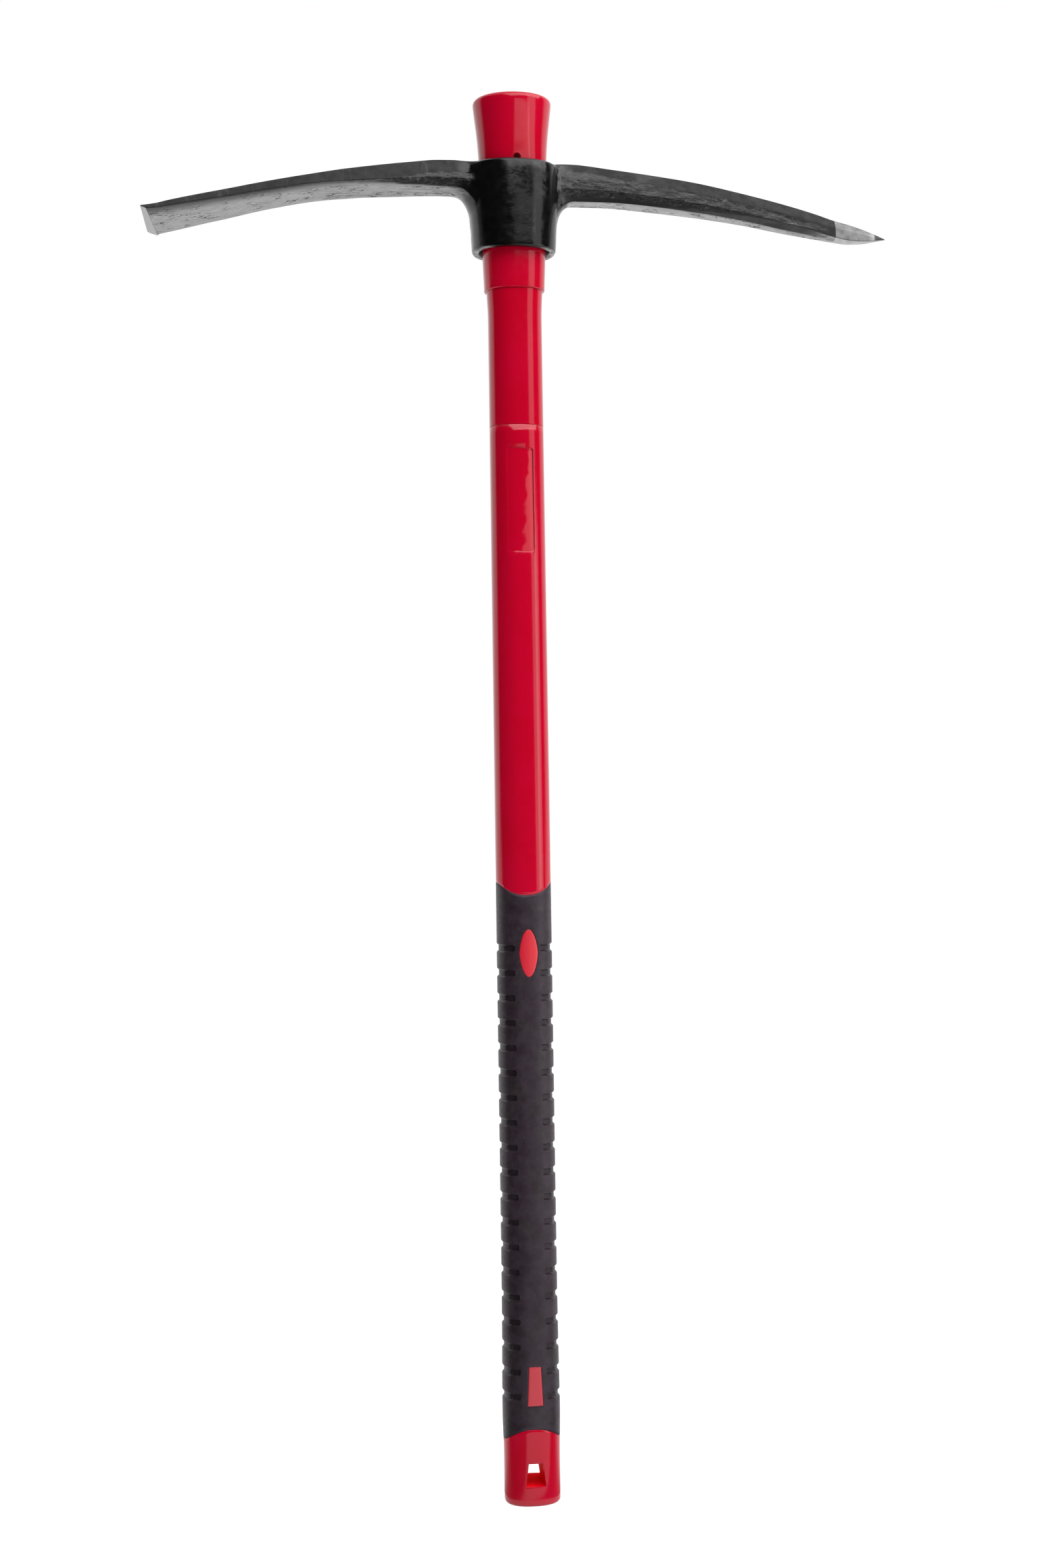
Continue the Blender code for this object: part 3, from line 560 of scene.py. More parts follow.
def forged_steel():
    """Black paint over forging scale, with the ground bevel and point bare and bright, and the undersides
    light grey as a painted reflection.
    """
    made, n = start_material("black_paint")
    across = n.add("ShaderNodeAttribute", attribute_name="across").outputs["Fac"]
    scaly = n.add("ShaderNodeAttribute", attribute_name="scale").outputs["Fac"]
    along, _, height = n.add("ShaderNodeSeparateXYZ", {0: n.place}).outputs
    from_axis = n.math("ABSOLUTE", along)
    arm = n.ramp(from_axis, 0.030, 0.040)
    pick = n.ramp(along, 0.030, 0.034)
    facing = n.along(n.coordinates["Normal"], -UP)
    downward = n.ramp(facing, n.ramp(pick, 0.0, 1.0, 0.45, 0.78), n.ramp(pick, 0.0, 1.0, 0.80, 0.92))
    rim = n.ramp(height, EYE_FOOT + 2 * MM, EYE_FOOT + 5 * MM)
    downward = n.product(downward, n.math("MAXIMUM", n.ramp(from_axis, 0.013, 0.020), rim))
    # paint, duller on the arms
    cloud = n.ramp(n.noise(150.0, 4.0), 0.3, 0.7)
    paint = n.mix(cloud, (0.0022, 0.0022, 0.0023), (0.0045, 0.0045, 0.0047))
    paint = n.mix(arm, paint, n.mix(cloud, 0.007, 0.013))
    paint = n.mix(n.ramp(along, 0.040, 0.060), paint, n.mix(cloud, 0.003, 0.006))
    smear = n.noise(200.0, 5.0, 0.6)
    rough = n.blend(arm, n.ramp(smear, 0.38, 0.66, 0.12, 0.26), n.ramp(smear, 0.35, 0.65, 0.58, 0.70))
    # the pick's lower facet, facing down, is lighter as a painted reflection, and fine lines cross the
    # blade's side
    lower_facet_reflection = n.product(n.ramp(facing, 0.34, 0.62), n.ramp(along, 0.08, 0.14))
    paint = n.mix(lower_facet_reflection, paint, n.mix(cloud, 0.048, 0.072))
    line = n.away(n.noise(48.0, 2.0, stretch=(1, 0.02, 0.10)), 0.5)
    line = n.product(n.ramp(line, 0.0, 0.006, 0.6, 0.0), n.fall(along, -0.045, -0.040))
    paint = n.mix(line, paint, 0.045)
    # scratches and flakes in the scale of the sides, lighter partly as their own colour and partly as painted
    # glints
    scratch_and_glint = n.away(n.noise(420.0, 4.0, 0.6, stretch=(0.35, 1, 1)), 0.5)
    scratch_and_glint = n.product(n.fall(scratch_and_glint, 0.0, 0.034), scaly)
    patch = n.ramp(n.noise(60.0, 3.0, stretch=(0.45, 1, 1)), 0.50, 0.62)
    patch = n.math("MAXIMUM", scaly, n.product(patch, n.ramp(along, 0.05, 0.08, 0.0, 0.6)))
    paint = n.mix(patch, paint, 0.0045)
    rough = n.blend(patch, rough, 0.28)
    flake_and_glint = n.ramp(n.noise(330.0, 4.0, 0.6, stretch=(0.45, 1, 1)), 0.57, 0.66)
    flake_and_glint = n.product(flake_and_glint, scaly, n.ramp(n.noise(90.0, 2.0), 0.42, 0.58))
    paint = n.mix(scratch_and_glint, paint, 0.045)
    paint = n.mix(flake_and_glint, paint, 0.10)
    # ridges that the dies left where the pick's arm meets the eye, painted lighter as their highlight
    wander = n.math("ADD", along, n.product(n.noise(180.0, 3.0, stretch=(0, 1, 1)), 2.4 * MM))
    first, second = (n.fall(n.away(wander, at), 0.10 * MM, 0.42 * MM) for at in RIDGES)
    ridge_with_highlight = n.product(
        n.math("MAXIMUM", first, second),
        n.ramp(height, RIDGE_FOOT, RIDGE_FOOT + 4 * MM),
        n.fall(height, RIDGE_TOP - 2 * MM, RIDGE_TOP),
        n.ramp(n.noise(420.0, 3.0), 0.40, 0.60, 0.3, 1.0),
    )
    paint = n.mix(ridge_with_highlight, paint, 0.11)
    # the underside: light grey as a painted reflection of the white floor, darker towards the front edge as
    # painted shade, with streaks and cracks in clusters
    crack = n.away(n.noise(200.0, 4.0, 0.6, stretch=(0.5, 1, 1)), 0.5)
    cluster = n.ramp(n.noise(75.0, 2.0), 0.46, 0.60)
    crack = n.product(n.fall(crack, 0.005, 0.032), cluster, downward)
    wear_and_painted_reflection = n.mix(pick, n.mix(cloud, 0.175, 0.28), n.mix(cloud, 0.30, 0.42))
    streak = n.product(
        n.ramp(n.noise(330.0, 3.0, 0.6, stretch=(0.10, 1, 1)), 0.48, 0.66),
        n.ramp(along, -0.15, -0.06, 0.1, 1.0),
        n.ramp(pick, 0.0, 1.0, 1.0, 0.3),
    )
    wear_and_painted_reflection = n.mix(streak, wear_and_painted_reflection, 0.050)
    shade = n.product(n.ramp(across, 0.58, 1.0), n.ramp(along, -0.16, -0.09, 0.9, 0.35))
    wear_and_painted_reflection = n.mix(shade, wear_and_painted_reflection, 0.025)
    paint = n.mix(downward, paint, n.mix(crack, wear_and_painted_reflection, 0.008))
    rough = n.blend(downward, rough, n.ramp(shade, 0.0, 1.0, 0.22, 0.55))
    rough = n.math("MAXIMUM", rough, n.product(crack, 0.75))
    # ground metal
    bulge = n.product(n.math("POWER", n.math("SUBTRACT", height, POINT_MIDDLE), 2.0), -POINT_CURVE)
    point = n.ramp(n.math("SUBTRACT", along, bulge), POINT_BORDER - 0.15 * MM, POINT_BORDER + 0.15 * MM)
    heel = n.along(n.place, Vector((-1.0, HEEL_SLANT / BLADE_EDGE_HALF, 0.0)))
    bevel = n.product(n.ramp(heel, BLADE_HEEL - 0.1 * MM, BLADE_HEEL + 0.1 * MM), downward)
    bare = n.math("MAXIMUM", point, bevel)
    haze = n.ramp(n.noise(210.0, 4.0), 0.35, 0.65)
    # painted highlight across the point near its tip, then darker at the tip
    bright = n.mix(n.ramp(along, *POINT_GLINT), n.mix(haze, 0.15, 0.26), 0.36)
    bright = n.mix(n.ramp(along, *POINT_DARK), bright, 0.08)
    # painted reflection: the point is lighter where it faces down
    bright = n.mix(downward, bright, n.mix(haze, 0.52, 0.70))
    bright = n.mix(bevel, bright, n.mix(haze, 0.50, 0.60))
    line = n.product(n.fall(n.away(heel, BLADE_HEEL), 0.10 * MM, 0.30 * MM), downward, 0.7)
    tone = n.mix(line, n.mix(bare, paint, bright), 0.03)
    metal = n.math("MAXIMUM", bare, n.product(downward, 0.25))
    rough = n.blend(bare, rough, n.ramp(haze, 0.0, 1.0, 0.48, 0.58))
    # relief
    dents = n.bump(n.noise(240.0, 5.0, 0.6), 0.10 * MM, n.ramp(downward, 0.0, 1.0, 1.0, 0.2))
    flaking = n.ramp(scaly, 0.0, 1.0, 0.04, 1.0)
    flakes = n.bump(n.noise(600.0, 5.0, 0.65, stretch=(0.5, 1, 1)), 0.35 * MM, flaking, Normal=dents)
    relief = n.bump(n.math("SUBTRACT", ridge_with_highlight, crack), 0.08 * MM, Normal=flakes)
    return end_material(made, n, tone, rough, Metallic=metal, Normal=relief, IOR=1.48)


def glass_fibre():
    made, n = start_material("glass_fibre")
    strands = n.noise(900.0, 3.0, stretch=(1, 1, 0.02))
    tone = n.mix(strands, (0.62, 0.56, 0.34), (0.80, 0.74, 0.50))
    return end_material(made, n, tone, 0.45)


def smooth_between(sections, height):
    """Values at a height, read from a smooth curve through the sections."""
    heights = [section[0] for section in sections]
    height = min(max(height, heights[0]), heights[-1])
    k = max(i for i in range(len(heights) - 1) if heights[i] <= height)
    low, high = sections[k], sections[k + 1]
    span = high[0] - low[0]
    t = (height - low[0]) / span
    h00 = 2 * t**3 - 3 * t**2 + 1
    h10 = t**3 - 2 * t**2 + t
    h01 = 3 * t**2 - 2 * t**3
    h11 = t**3 - t**2
    values = []
    for column in range(1, len(low)):
        rise = (high[column] - low[column]) / span
        before = slope_at(sections, k, column) if k > 0 else rise
        after = slope_at(sections, k + 1, column) if k + 2 < len(sections) else rise
        values.append(h00 * low[column] + h10 * span * before + h01 * high[column] + h11 * span * after)
    return values


def slope_at(sections, k, column):
    """Slope of a column at an inner section: the harmonic mean of its neighbours, so nothing overshoots."""
    before, here, after = sections[k - 1 : k + 2]
    below = (here[column] - before[column]) / (here[0] - before[0])
    above = (after[column] - here[column]) / (after[0] - here[0])
    if below * above <= 0:
        return 0.0
    return 2 * below * above / (below + above)


def step_up(value, low, high):
    """0 below a span, 1 above it and a smooth curve between."""
    t = min(max((value - low) / (high - low), 0.0), 1.0)
    return t * t * (3 - 2 * t)


def spaced(low, high, step):
    """Evenly spaced values from one end of a span to the other."""
    count = max(1, round(abs(high - low) / step))
    return [low + (high - low) * k / count for k in range(count + 1)]


def between(start, end, steps):
    """Places spread evenly between two others."""
    return [[a + (b - a) * k / steps for a, b in zip(start, end)] for k in range(1, steps)]


def stack(ring, low, high, step, *others):
    """Rings at evenly spaced heights."""
    return [ring(height, *others) for height in spaced(low, high, step)]


def oval_point(half_x, half_y, angle, power=OVAL_POWER):
    c, s = cos(angle), sin(angle)
    x = half_x * copysign(abs(c) ** (2 / power), c)
    y = half_y * copysign(abs(s) ** (2 / power), s)
    return x, y


def oval_ring(half_x, half_y, height, power=OVAL_POWER, points=HANDLE_POINTS, wave=0.0):
    """An oval ring of points; wave lifts its front and back above its sides."""
    angles = [2 * pi * k / points for k in range(points)]
    return [(*oval_point(half_x, half_y, a, power), height + wave * sin(a) ** 2) for a in angles]


def ring_object(name, rings, closed=False):
    """An object with a skin through rings of equal point counts, capped at its ends or closed on itself."""
    count = len(rings[0])
    points = [point for ring in rings for point in ring]
    rows = [range(r * count, (r + 1) * count) for r in range(len(rings))]
    pairs = list(zip(rows, rows[1:]))
    if closed:
        pairs.append((rows[-1], rows[0]))
    faces = []
    for low, high in pairs:
        for k in range(count):
            n = (k + 1) % count
            faces.append((low[k], low[n], high[n], high[k]))
    if not closed:
        faces += [tuple(reversed(rows[0])), tuple(rows[-1])]
    mesh = bpy.data.meshes.new(name)
    mesh.from_pydata(points, [], faces)
    face_outwards(mesh)
    return add_object(name, mesh)


def face_outwards(mesh):
    build = bmesh.new()
    build.from_mesh(mesh)
    bmesh.ops.recalc_face_normals(build, faces=build.faces)
    build.to_mesh(mesh)
    build.free()


def combine(target, tool, operation):
    """Cuts or joins another object into this one, which keeps the result as its mesh."""
    step = target.modifiers.new(tool.name, "BOOLEAN")
    step.operation = operation
    step.solver = "MANIFOLD"
    step.object = tool
    graph = bpy.context.evaluated_depsgraph_get()
    mesh = bpy.data.meshes.new_from_object(target.evaluated_get(graph))
    target.modifiers.clear()
    old = target.data
    target.data = mesh
    bpy.data.meshes.remove(old)
    bpy.data.objects.remove(tool)


def finish_piece(obj, material, node, body, sharp=40):
    """Shades a piece, gives it its material, hangs it on its body and hides the frame's part that it stands
    for.
    """
    obj.data.materials.clear()
    obj.data.materials.append(material)
    obj.data.shade_smooth()
    obj.data.set_sharp_from_angle(angle=radians(sharp))
    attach(obj, body)
    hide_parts(node)


def jacket_ring(height, inset=0.0, wave=0.0):
    half_x, half_y = smooth_between(JACKET_SECTIONS, height)
    return oval_ring(half_x - inset, half_y - inset, height, wave=wave)


def jacket_front(x, z):
    """Distance of the handle's front surface from its middle at a place."""
    half_x, half_y = smooth_between(JACKET_SECTIONS, z)
    return half_y * (1 - min(abs(x) / half_x, 1.0) ** OVAL_POWER) ** (1 / OVAL_POWER)


def edge_rings(sections, height, radius, upwards, steps=8):
    """Rings of a rounded edge that ends on a flat face."""
    half_x, half_y, *power = smooth_between(sections, height)
    rings = []
    for k in range(steps + 1):
        turn = pi / 2 * k / steps
        inset = radius * (1 - cos(turn))
        rise = radius * sin(turn)
        level = height + (rise - radius) * (1 if upwards else -1)
        rings.append(oval_ring(half_x - inset, half_y - inset, level, *power))
    return rings if upwards else rings[::-1]


def core_ring(height):
    return oval_ring(CORE_HIGH.x + GAP, CORE_HIGH.y + GAP, height, power=2.0)


def surface_solid(name, outline, profile, side=-1, shift=0.0, lean=(0.0, 0.0)):
    """A solid whose walls follow the handle's surface. The profile gives growth and depth below it, shift
    moves it sideways, and lean is how much deeper it is towards the right and the top."""
    rings = []
    for grow, depth in profile:
        ring = []
        for x, z in outline(grow):
            x -= side * shift
            share = 1.0
            if depth > 0:
                share += lean[0] * x / RECESS_HALF_WIDTH
                share *= 1 + lean[1] * (z - RECESS_MIDDLE) / (RECESS_TOP - RECESS_MIDDLE)
            ring.append((x, side * (jacket_front(x, z) - depth * share), z))
        rings.append(ring)
    return ring_object(name, rings)


def lens_outline(grow, points=96):
    """Outline of the upright oval pad with narrow, blunt ends, grown by a clearance."""
    outline = []
    for k in range(points):
        turn = 2 * pi * k / points
        rise = copysign(abs(sin(turn)) ** (2 / LENS_PAD_POWER), sin(turn))
        x = (LENS_PAD_HALF_WIDTH + grow) * cos(turn)
        outline.append((x, LENS_PAD_HEIGHT + (LENS_PAD_HALF_HEIGHT + grow) * rise))
    return outline


def wedge_outline(grow):
    """Outline of the lower pad, wider at its foot."""
    return trapezoid(grow, WEDGE_PAD_HALF_FOOT, WEDGE_PAD_HALF_TOP, WEDGE_PAD_FOOT, WEDGE_PAD_TOP, 0.0, 10)


def trapezoid(grow, half_foot, half_top, foot, top, side, points):
    """An upright trapezoid grown by a clearance, with points spread evenly along each edge."""
    half_foot, half_top, foot, top = half_foot + grow, half_top + grow, foot - grow, top + grow
    corners = [(side - half_foot, foot), (side + half_foot, foot)]
    corners += [(side + half_top, top), (side - half_top, top)]
    outline = []
    for start, end in zip(corners, corners[1:] + corners[:1]):
        outline += [start, *between(start, end, points)]
    return outline


def recess_outline(grow, steps=6, points=24):
    """Rounded rectangle of the label recess, with points along its long sides."""
    radius = max(RECESS_CORNER + grow, 0.2 * MM)
    half, low, high = RECESS_HALF_WIDTH + grow, RECESS_FOOT - grow, RECESS_TOP + grow
    corners = (
        (half - radius, low + radius, -90),
        (half - radius, high - radius, 0),
        (radius - half, high - radius, 90),
        (radius - half, low + radius, 180),
    )
    outline = []
    for index, (x, z, start) in enumerate(corners):
        for k in range(steps + 1):
            turn = radians(start + 90 * k / steps)
            outline.append((x + radius * cos(turn), z + radius * sin(turn)))
        x, z, start = corners[(index + 1) % len(corners)]
        far = (x + radius * cos(radians(start)), z + radius * sin(radians(start)))
        outline += between(outline[-1], far, points)
    return outline


def lanyard_outline(grow):
    return trapezoid(grow, LANYARD_HALF_FOOT, LANYARD_HALF_TOP, LANYARD_FOOT, LANYARD_TOP, LANYARD_SIDE, 8)


def head_end(red):
    """The flared end that wedges in the eye, with its collar's thin flash and the blind pin hole."""
    foot_x, foot_y, _ = smooth_between(FLARE_SECTIONS, COLLAR_FOOT)
    rings = [
        core_ring(CORE_HIGH.z + GAP),
        core_ring(COLLAR_FOOT),
        oval_ring(foot_x - COLLAR_CHAMFER, foot_y - COLLAR_CHAMFER, COLLAR_FOOT),
        oval_ring(foot_x - FLASH_REACH, foot_y - FLASH_REACH, COLLAR_FOOT + FLASH_REACH),
        oval_ring(foot_x, foot_y, COLLAR_FOOT + 2 * FLASH_REACH),
    ]
    for height in spaced(COLLAR_FOOT + COLLAR_CHAMFER, HANDLE_TOP - TOP_EDGE_RADIUS, 2 * MM)[:-1]:
        half_x, half_y, power = smooth_between(FLARE_SECTIONS, height)
        rings.append(oval_ring(half_x, half_y, height, power))
    rings += edge_rings(FLARE_SECTIONS, HANDLE_TOP, TOP_EDGE_RADIUS, upwards=True)
    piece = ring_object("flared_head_end", rings)
    reach = FLARE_SECTIONS[-1][2] + PAST_END
    circle = oval_ring(PIN_HOLE_RADIUS, PIN_HOLE_RADIUS, 0.0, power=2.0, points=PIN_HOLE_POINTS)
    bore = []
    for y in (-reach, reach):
        middle = PIN_HOLE_SIDE * -copysign(1, y)
        bore.append([(middle + x, y, PIN_HOLE_HEIGHT + z) for x, z, _ in circle])
    combine(piece, ring_object("pin_bore", bore), "DIFFERENCE")
    finish_piece(piece, red, "head_end_moulding", "handle")


def upper_sleeve(red):
    low, high = JACKET_SEAM + SEAM_EDGE / 2, COLLAR_FOOT - SEAM_EDGE
    rings = [core_ring(high), core_ring(low), jacket_ring(low, SEAM_EDGE)]
    rings += stack(jacket_ring, low + SEAM_EDGE, high, RING_STEP)
    piece = ring_object("upper_handle_sleeve", rings, closed=True)
    finish_piece(piece, red, "upper_jacket", "handle")


def lower_sleeve(red, inside):
    """Handle from the seam down: label recess, seat of the grip, pads, butt and lanyard hole."""
    seam = JACKET_SEAM - SEAM_EDGE / 2
    rings = edge_rings(JACKET_SECTIONS, 0.0, BUTT_EDGE_RADIUS, upwards=False)
    rings += stack(jacket_ring, BUTT_EDGE_RADIUS, GRIP_FOOT_SIDE - RING_STEP, 3 * MM)[1:]
    rings += [jacket_ring(GRIP_FOOT_SIDE - rise, 0.0, GRIP_WAVE) for rise in (2 * MM, SEAM_EDGE)]
    rings += [jacket_ring(GRIP_FOOT_SIDE, inset, GRIP_WAVE) for inset in (SEAM_EDGE, GRIP_THICKNESS)]
    rings += stack(jacket_ring, GRIP_FOOT_FRONT, GRIP_TOP_FRONT, 3 * RING_STEP, GRIP_THICKNESS)
    rings += [jacket_ring(GRIP_TOP_SIDE, inset, -GRIP_WAVE) for inset in (GRIP_THICKNESS, SEAM_EDGE)]
    rings += [jacket_ring(GRIP_TOP_SIDE + rise, 0.0, -GRIP_WAVE) for rise in (SEAM_EDGE, 2 * MM)]
    rings += stack(jacket_ring, GRIP_TOP_SIDE + 4 * MM, seam - SEAM_EDGE, RING_STEP)
    rings += [jacket_ring(seam, SEAM_EDGE), core_ring(seam), core_ring(CORE_LOW.z - GAP)]
    piece = ring_object("lower_handle_sleeve", rings)
    rim = [(0.0, PAD_ROOT), (0.0, -0.02 * MM), (-0.06 * MM, -0.12 * MM), (-0.2 * MM, -PAD_PROUD)]
    for outline, shrinks in ((lens_outline, (1.5, 3.0, 4.5, 6.0)), (wedge_outline, (1.2, 2.4, 3.6))):
        profile = rim + [(-shrink * MM, -PAD_PROUD) for shrink in shrinks]
        for side in (-1, 1):
            combine(piece, surface_solid("pad", outline, profile, side, PAD_SIDE), "UNION")
    walls = [(0.10, -2.0), (0.10, -0.01), (0.03, 0.04), (0.01, 0.10), (0.0, 0.22), (-0.05, 0.28)]
    floor = [(-shrink, RECESS_DEPTH / MM) for shrink in (0.12, 1.5, 3.0, 4.5, 6.0, 7.2, 8.0)]
    profile = [(grow * MM, depth * MM) for grow, depth in walls + floor]
    combine(piece, surface_solid("label_recess", recess_outline, profile, lean=RECESS_LEAN), "DIFFERENCE")
    mouth = [(1.0, -2.0), (0.6, -0.2), (0.26, 0.0), (0.10, 0.22), (0.02, 0.5), (0.0, 1.0)]
    hole = []
    for side in (-1, 1):
        edge = []
        for grow, depth in mouth:
            ring = lanyard_outline(grow * MM)
            edge.append([(x, side * (jacket_front(x, z) - depth * MM), z) for x, z in ring])
        hole += edge[::-side]
    combine(piece, ring_object("lanyard_hole", hole), "DIFFERENCE")
    finish_piece(piece, red, "lower_jacket", "handle", sharp=50)
    piece.data.materials.append(inside)
    for face in piece.data.polygons:
        x, y, z = face.center
        deep = abs(x) < 10 * MM and abs(y) < jacket_front(x, z) - LANYARD_LIP
        if deep and LANYARD_FOOT - 0.5 * MM < z < LANYARD_TOP + 0.5 * MM:
            face.material_index = 1


def grip_angles():
    """Angles round the grip, closer together where the grooves end."""
    quarter = [radians(turn) for turn in (*range(0, 40, 3), *range(40, 70), *range(70, 90, 4))]
    half = quarter + [pi / 2] + [pi - angle for angle in reversed(quarter)]
    return half + [2 * pi - angle for angle in reversed(half[1:-1])]


def groove_inset(angle, aside, radius):
    """Depth of a groove at an angle round the grip and a height from its middle."""
    from_side = abs(asin(sin(angle)))
    along = (GROOVE_END - from_side) * radius
    if along <= 0:
        return 0.0
    open_up = step_up(along, POCKET_LENGTH, POCKET_LENGTH + 2 * POCKET_RAMP)
    mouth = POCKET_MOUTH + (GROOVE_MOUTH - POCKET_MOUTH) * open_up
    floor = POCKET_FLOOR + (GROOVE_FLOOR - POCKET_FLOOR) * open_up
    shallow = step_up(along, POCKET_LENGTH, POCKET_LENGTH + POCKET_RAMP)
    depth = POCKET_DEPTH + (GROOVE_DEPTH - POCKET_DEPTH) * shallow
    reach = (max(0.0, POCKET_MOUTH - along) ** 4 + aside**4) ** 0.25
    return depth * (1 - step_up(reach, floor, mouth))


def grip_ring(height, inset=0.0, wave=0.0, groove=None):
    half_x, half_y = smooth_between(JACKET_SECTIONS, height)
    ring = []
    for angle in grip_angles():
        cut = inset
        if groove is not None:
            cut += groove_inset(angle, abs(height - groove), half_x)
        x, y = oval_point(half_x - cut, half_y - cut, angle)
        ring.append((x, y, height + wave * sin(angle) ** 2))
    return ring


def rubber_sleeve(black):
    """Sleeve with finger grooves round both sides, a deeper pocket at each groove's end, and pad windows."""
    inner = GRIP_THICKNESS - 0.05 * MM
    foot, top = GRIP_FOOT_SIDE + 0.1 * MM, GRIP_TOP_SIDE - 0.1 * MM
    rings = [grip_ring(top, inner, -GRIP_WAVE)]
    rings += stack(grip_ring, GRIP_TOP_FRONT, GRIP_FOOT_FRONT, 20 * MM, inner)
    rings += [grip_ring(foot, inset, GRIP_WAVE) for inset in (inner, 0.3 * MM)]
    rings += [grip_ring(foot + rise * MM, 0.0, GRIP_WAVE) for rise in (0.3, 2.0, 5.0)]
    pitch = (LAST_GROOVE - FIRST_GROOVE) / (GROOVE_COUNT - 1)
    last = GRIP_FOOT_FRONT + 3 * MM
    for k in range(GROOVE_COUNT):
        centre = FIRST_GROOVE + pitch * k
        rings += stack(grip_ring, last, centre - GROOVE_ZONE, LAND_STEP)[:-1]
        last = centre + GROOVE_ZONE
        rings += stack(grip_ring, centre - GROOVE_ZONE, last, GROOVE_STEP, 0.0, 0.0, centre)[:-1]
    rings += stack(grip_ring, last, GRIP_TOP_FRONT - 3 * MM, LAND_STEP)
    rings += [grip_ring(top - drop * MM, 0.0, -GRIP_WAVE) for drop in (4.0, 2.0, 0.3)]
    rings.append(grip_ring(top, 0.3 * MM, -GRIP_WAVE))
    piece = ring_object("rubber_grip_sleeve", rings, closed=True)
    profile = [(0.45, -2.0), (0.40, -0.05), (0.15, 0.1), (0.10, 0.4), (0.10, 2.5)]
    profile = [(grow * MM, depth * MM) for grow, depth in profile]
    for outline in (lens_outline, wedge_outline):
        for side in (-1, 1):
            combine(piece, surface_solid("pad_window", outline, profile, side, PAD_SIDE), "DIFFERENCE")
    finish_piece(piece, black, "rubber_grip", "handle", sharp=60)


def arm_ring(x, low, high, widest, underside, top, share, draft=BLADE_DRAFT):
    """Section of an arm: flat underside, sides with a draft, chamfers up to a flat top, and rounded edges."""
    belly = low + share * (high - low)
    shoulder = low + SHOULDER_SHARE * (high - low)
    drawn_in = max(top, widest - draft * (shoulder - belly))
    half = [(underside, low), (widest, belly), (drawn_in, shoulder), (top, high)]
    corners = half + [(-y, z) for y, z in reversed(half)]
    underside_points, *side_points, top_points = FACET_POINTS
    counts = side_points + [top_points] + side_points[::-1] + [underside_points]
    ring = []
    for index, (y, z) in enumerate(corners):
        before, after = corners[index - 1], corners[(index + 1) % len(corners)]
        start, end = (edge_start((y, z), other, belly) for other in (before, after))
        ring += [bend(start, (y, z), end, k / (CORNER_POINTS - 1)) for k in range(CORNER_POINTS)]
        ring += between(end, edge_start(after, (y, z), belly), counts[index] + 1)
    return [(x, y, z) for y, z in ring]


def bend(start, corner, end, t):
    """A point on a curve that rounds a corner, from its start at 0 to its end at 1."""
    shares = ((1 - t) ** 2, 2 * t * (1 - t), t**2)
    return [sum(s * p for s, p in zip(shares, places)) for places in zip(start, corner, end)]


def edge_start(corner, other, belly):
    """Where the rounding of a corner ends on its way to another corner; it is tighter at the belly."""
    length = dist(corner, other)
    reach = BELLY_ROUND if corner[1] == belly else EDGE_ROUND
    share = min(reach, EDGE_SHARE * length) / length if length else 0.0
    return [a + (b - a) * share for a, b in zip(corner, other)]


def arm_section(sections, distance):
    draft = PICK_DRAFT if sections is PICK_SECTIONS else BLADE_DRAFT
    return arm_ring(distance, *smooth_between(sections, distance), draft)


def eye_ring(height, half_x, half_y):
    """Ring round the eye, a little lower towards the point than towards the blade."""
    ring = oval_ring(half_x, half_y, height, EYE_POWER, EYE_POINTS)
    return [(x, y, z - EYE_TILT * x) for x, y, z in ring]


def eye_wall(y, z):
    """Distance from the handle's axis to the outside of the eye, at a width and a height."""
    half_x, half_y = smooth_between(EYE_SECTIONS, z)
    return half_x * (1 - abs(y / half_y) ** EYE_POWER) ** (1 / EYE_POWER)


def arm_rings(sections, fillet, far):
    """Rings from inside the eye, out along its wall and round onto the arm, then along it to a far one."""
    arm_below, eye_below, arm_beside, eye_beside, highest = fillet
    _, low, high, widest, *_ = sections[0]
    middle = (low + high) / 2
    rings = [[] for _ in range(FILLET_STEPS + 2)]
    starts = []
    for index, (_, y, z) in enumerate(arm_section(sections, sections[0][0])):
        turn = atan2((z - middle) / (high - low) * 2, y / widest)
        below, beside = max(0.0, -sin(turn)), cos(turn)
        wider = 1 + TOP_FILLET_GAIN * max(0.0, sin(turn))
        start = eye_wall(y, z) + arm_beside * wider + (arm_below - arm_beside) * below
        on_arm = arm_section(sections, start)[index]
        y, z = on_arm[1], min(on_arm[2], highest)
        corner = (eye_wall(y, z), y, z)
        y, z = y + eye_beside * wider * beside, z - eye_below * below
        on_eye = (eye_wall(y, z) - FILLET_SINK, y, min(z, EYE_TOP))
        starts.append(start)
        rings[0].append((ROOT_DEPTH, y / 2, (z + middle) / 2))
        for k in range(FILLET_STEPS + 1):
            rings[k + 1].append(bend(on_arm, corner, on_eye, 1 - k / FILLET_STEPS))
    end = max(starts) + ARM_STEP
    steps = round((end - min(starts)) / ARM_STEP)
    for k in range(1, steps + 1):
        places = [start + (end - start) * k / steps for start in starts]
        rings.append([arm_section(sections, place)[index] for index, place in enumerate(places)])
    return rings + [arm_section(sections, place) for place in spaced(end, far, ARM_STEP)[1:]]


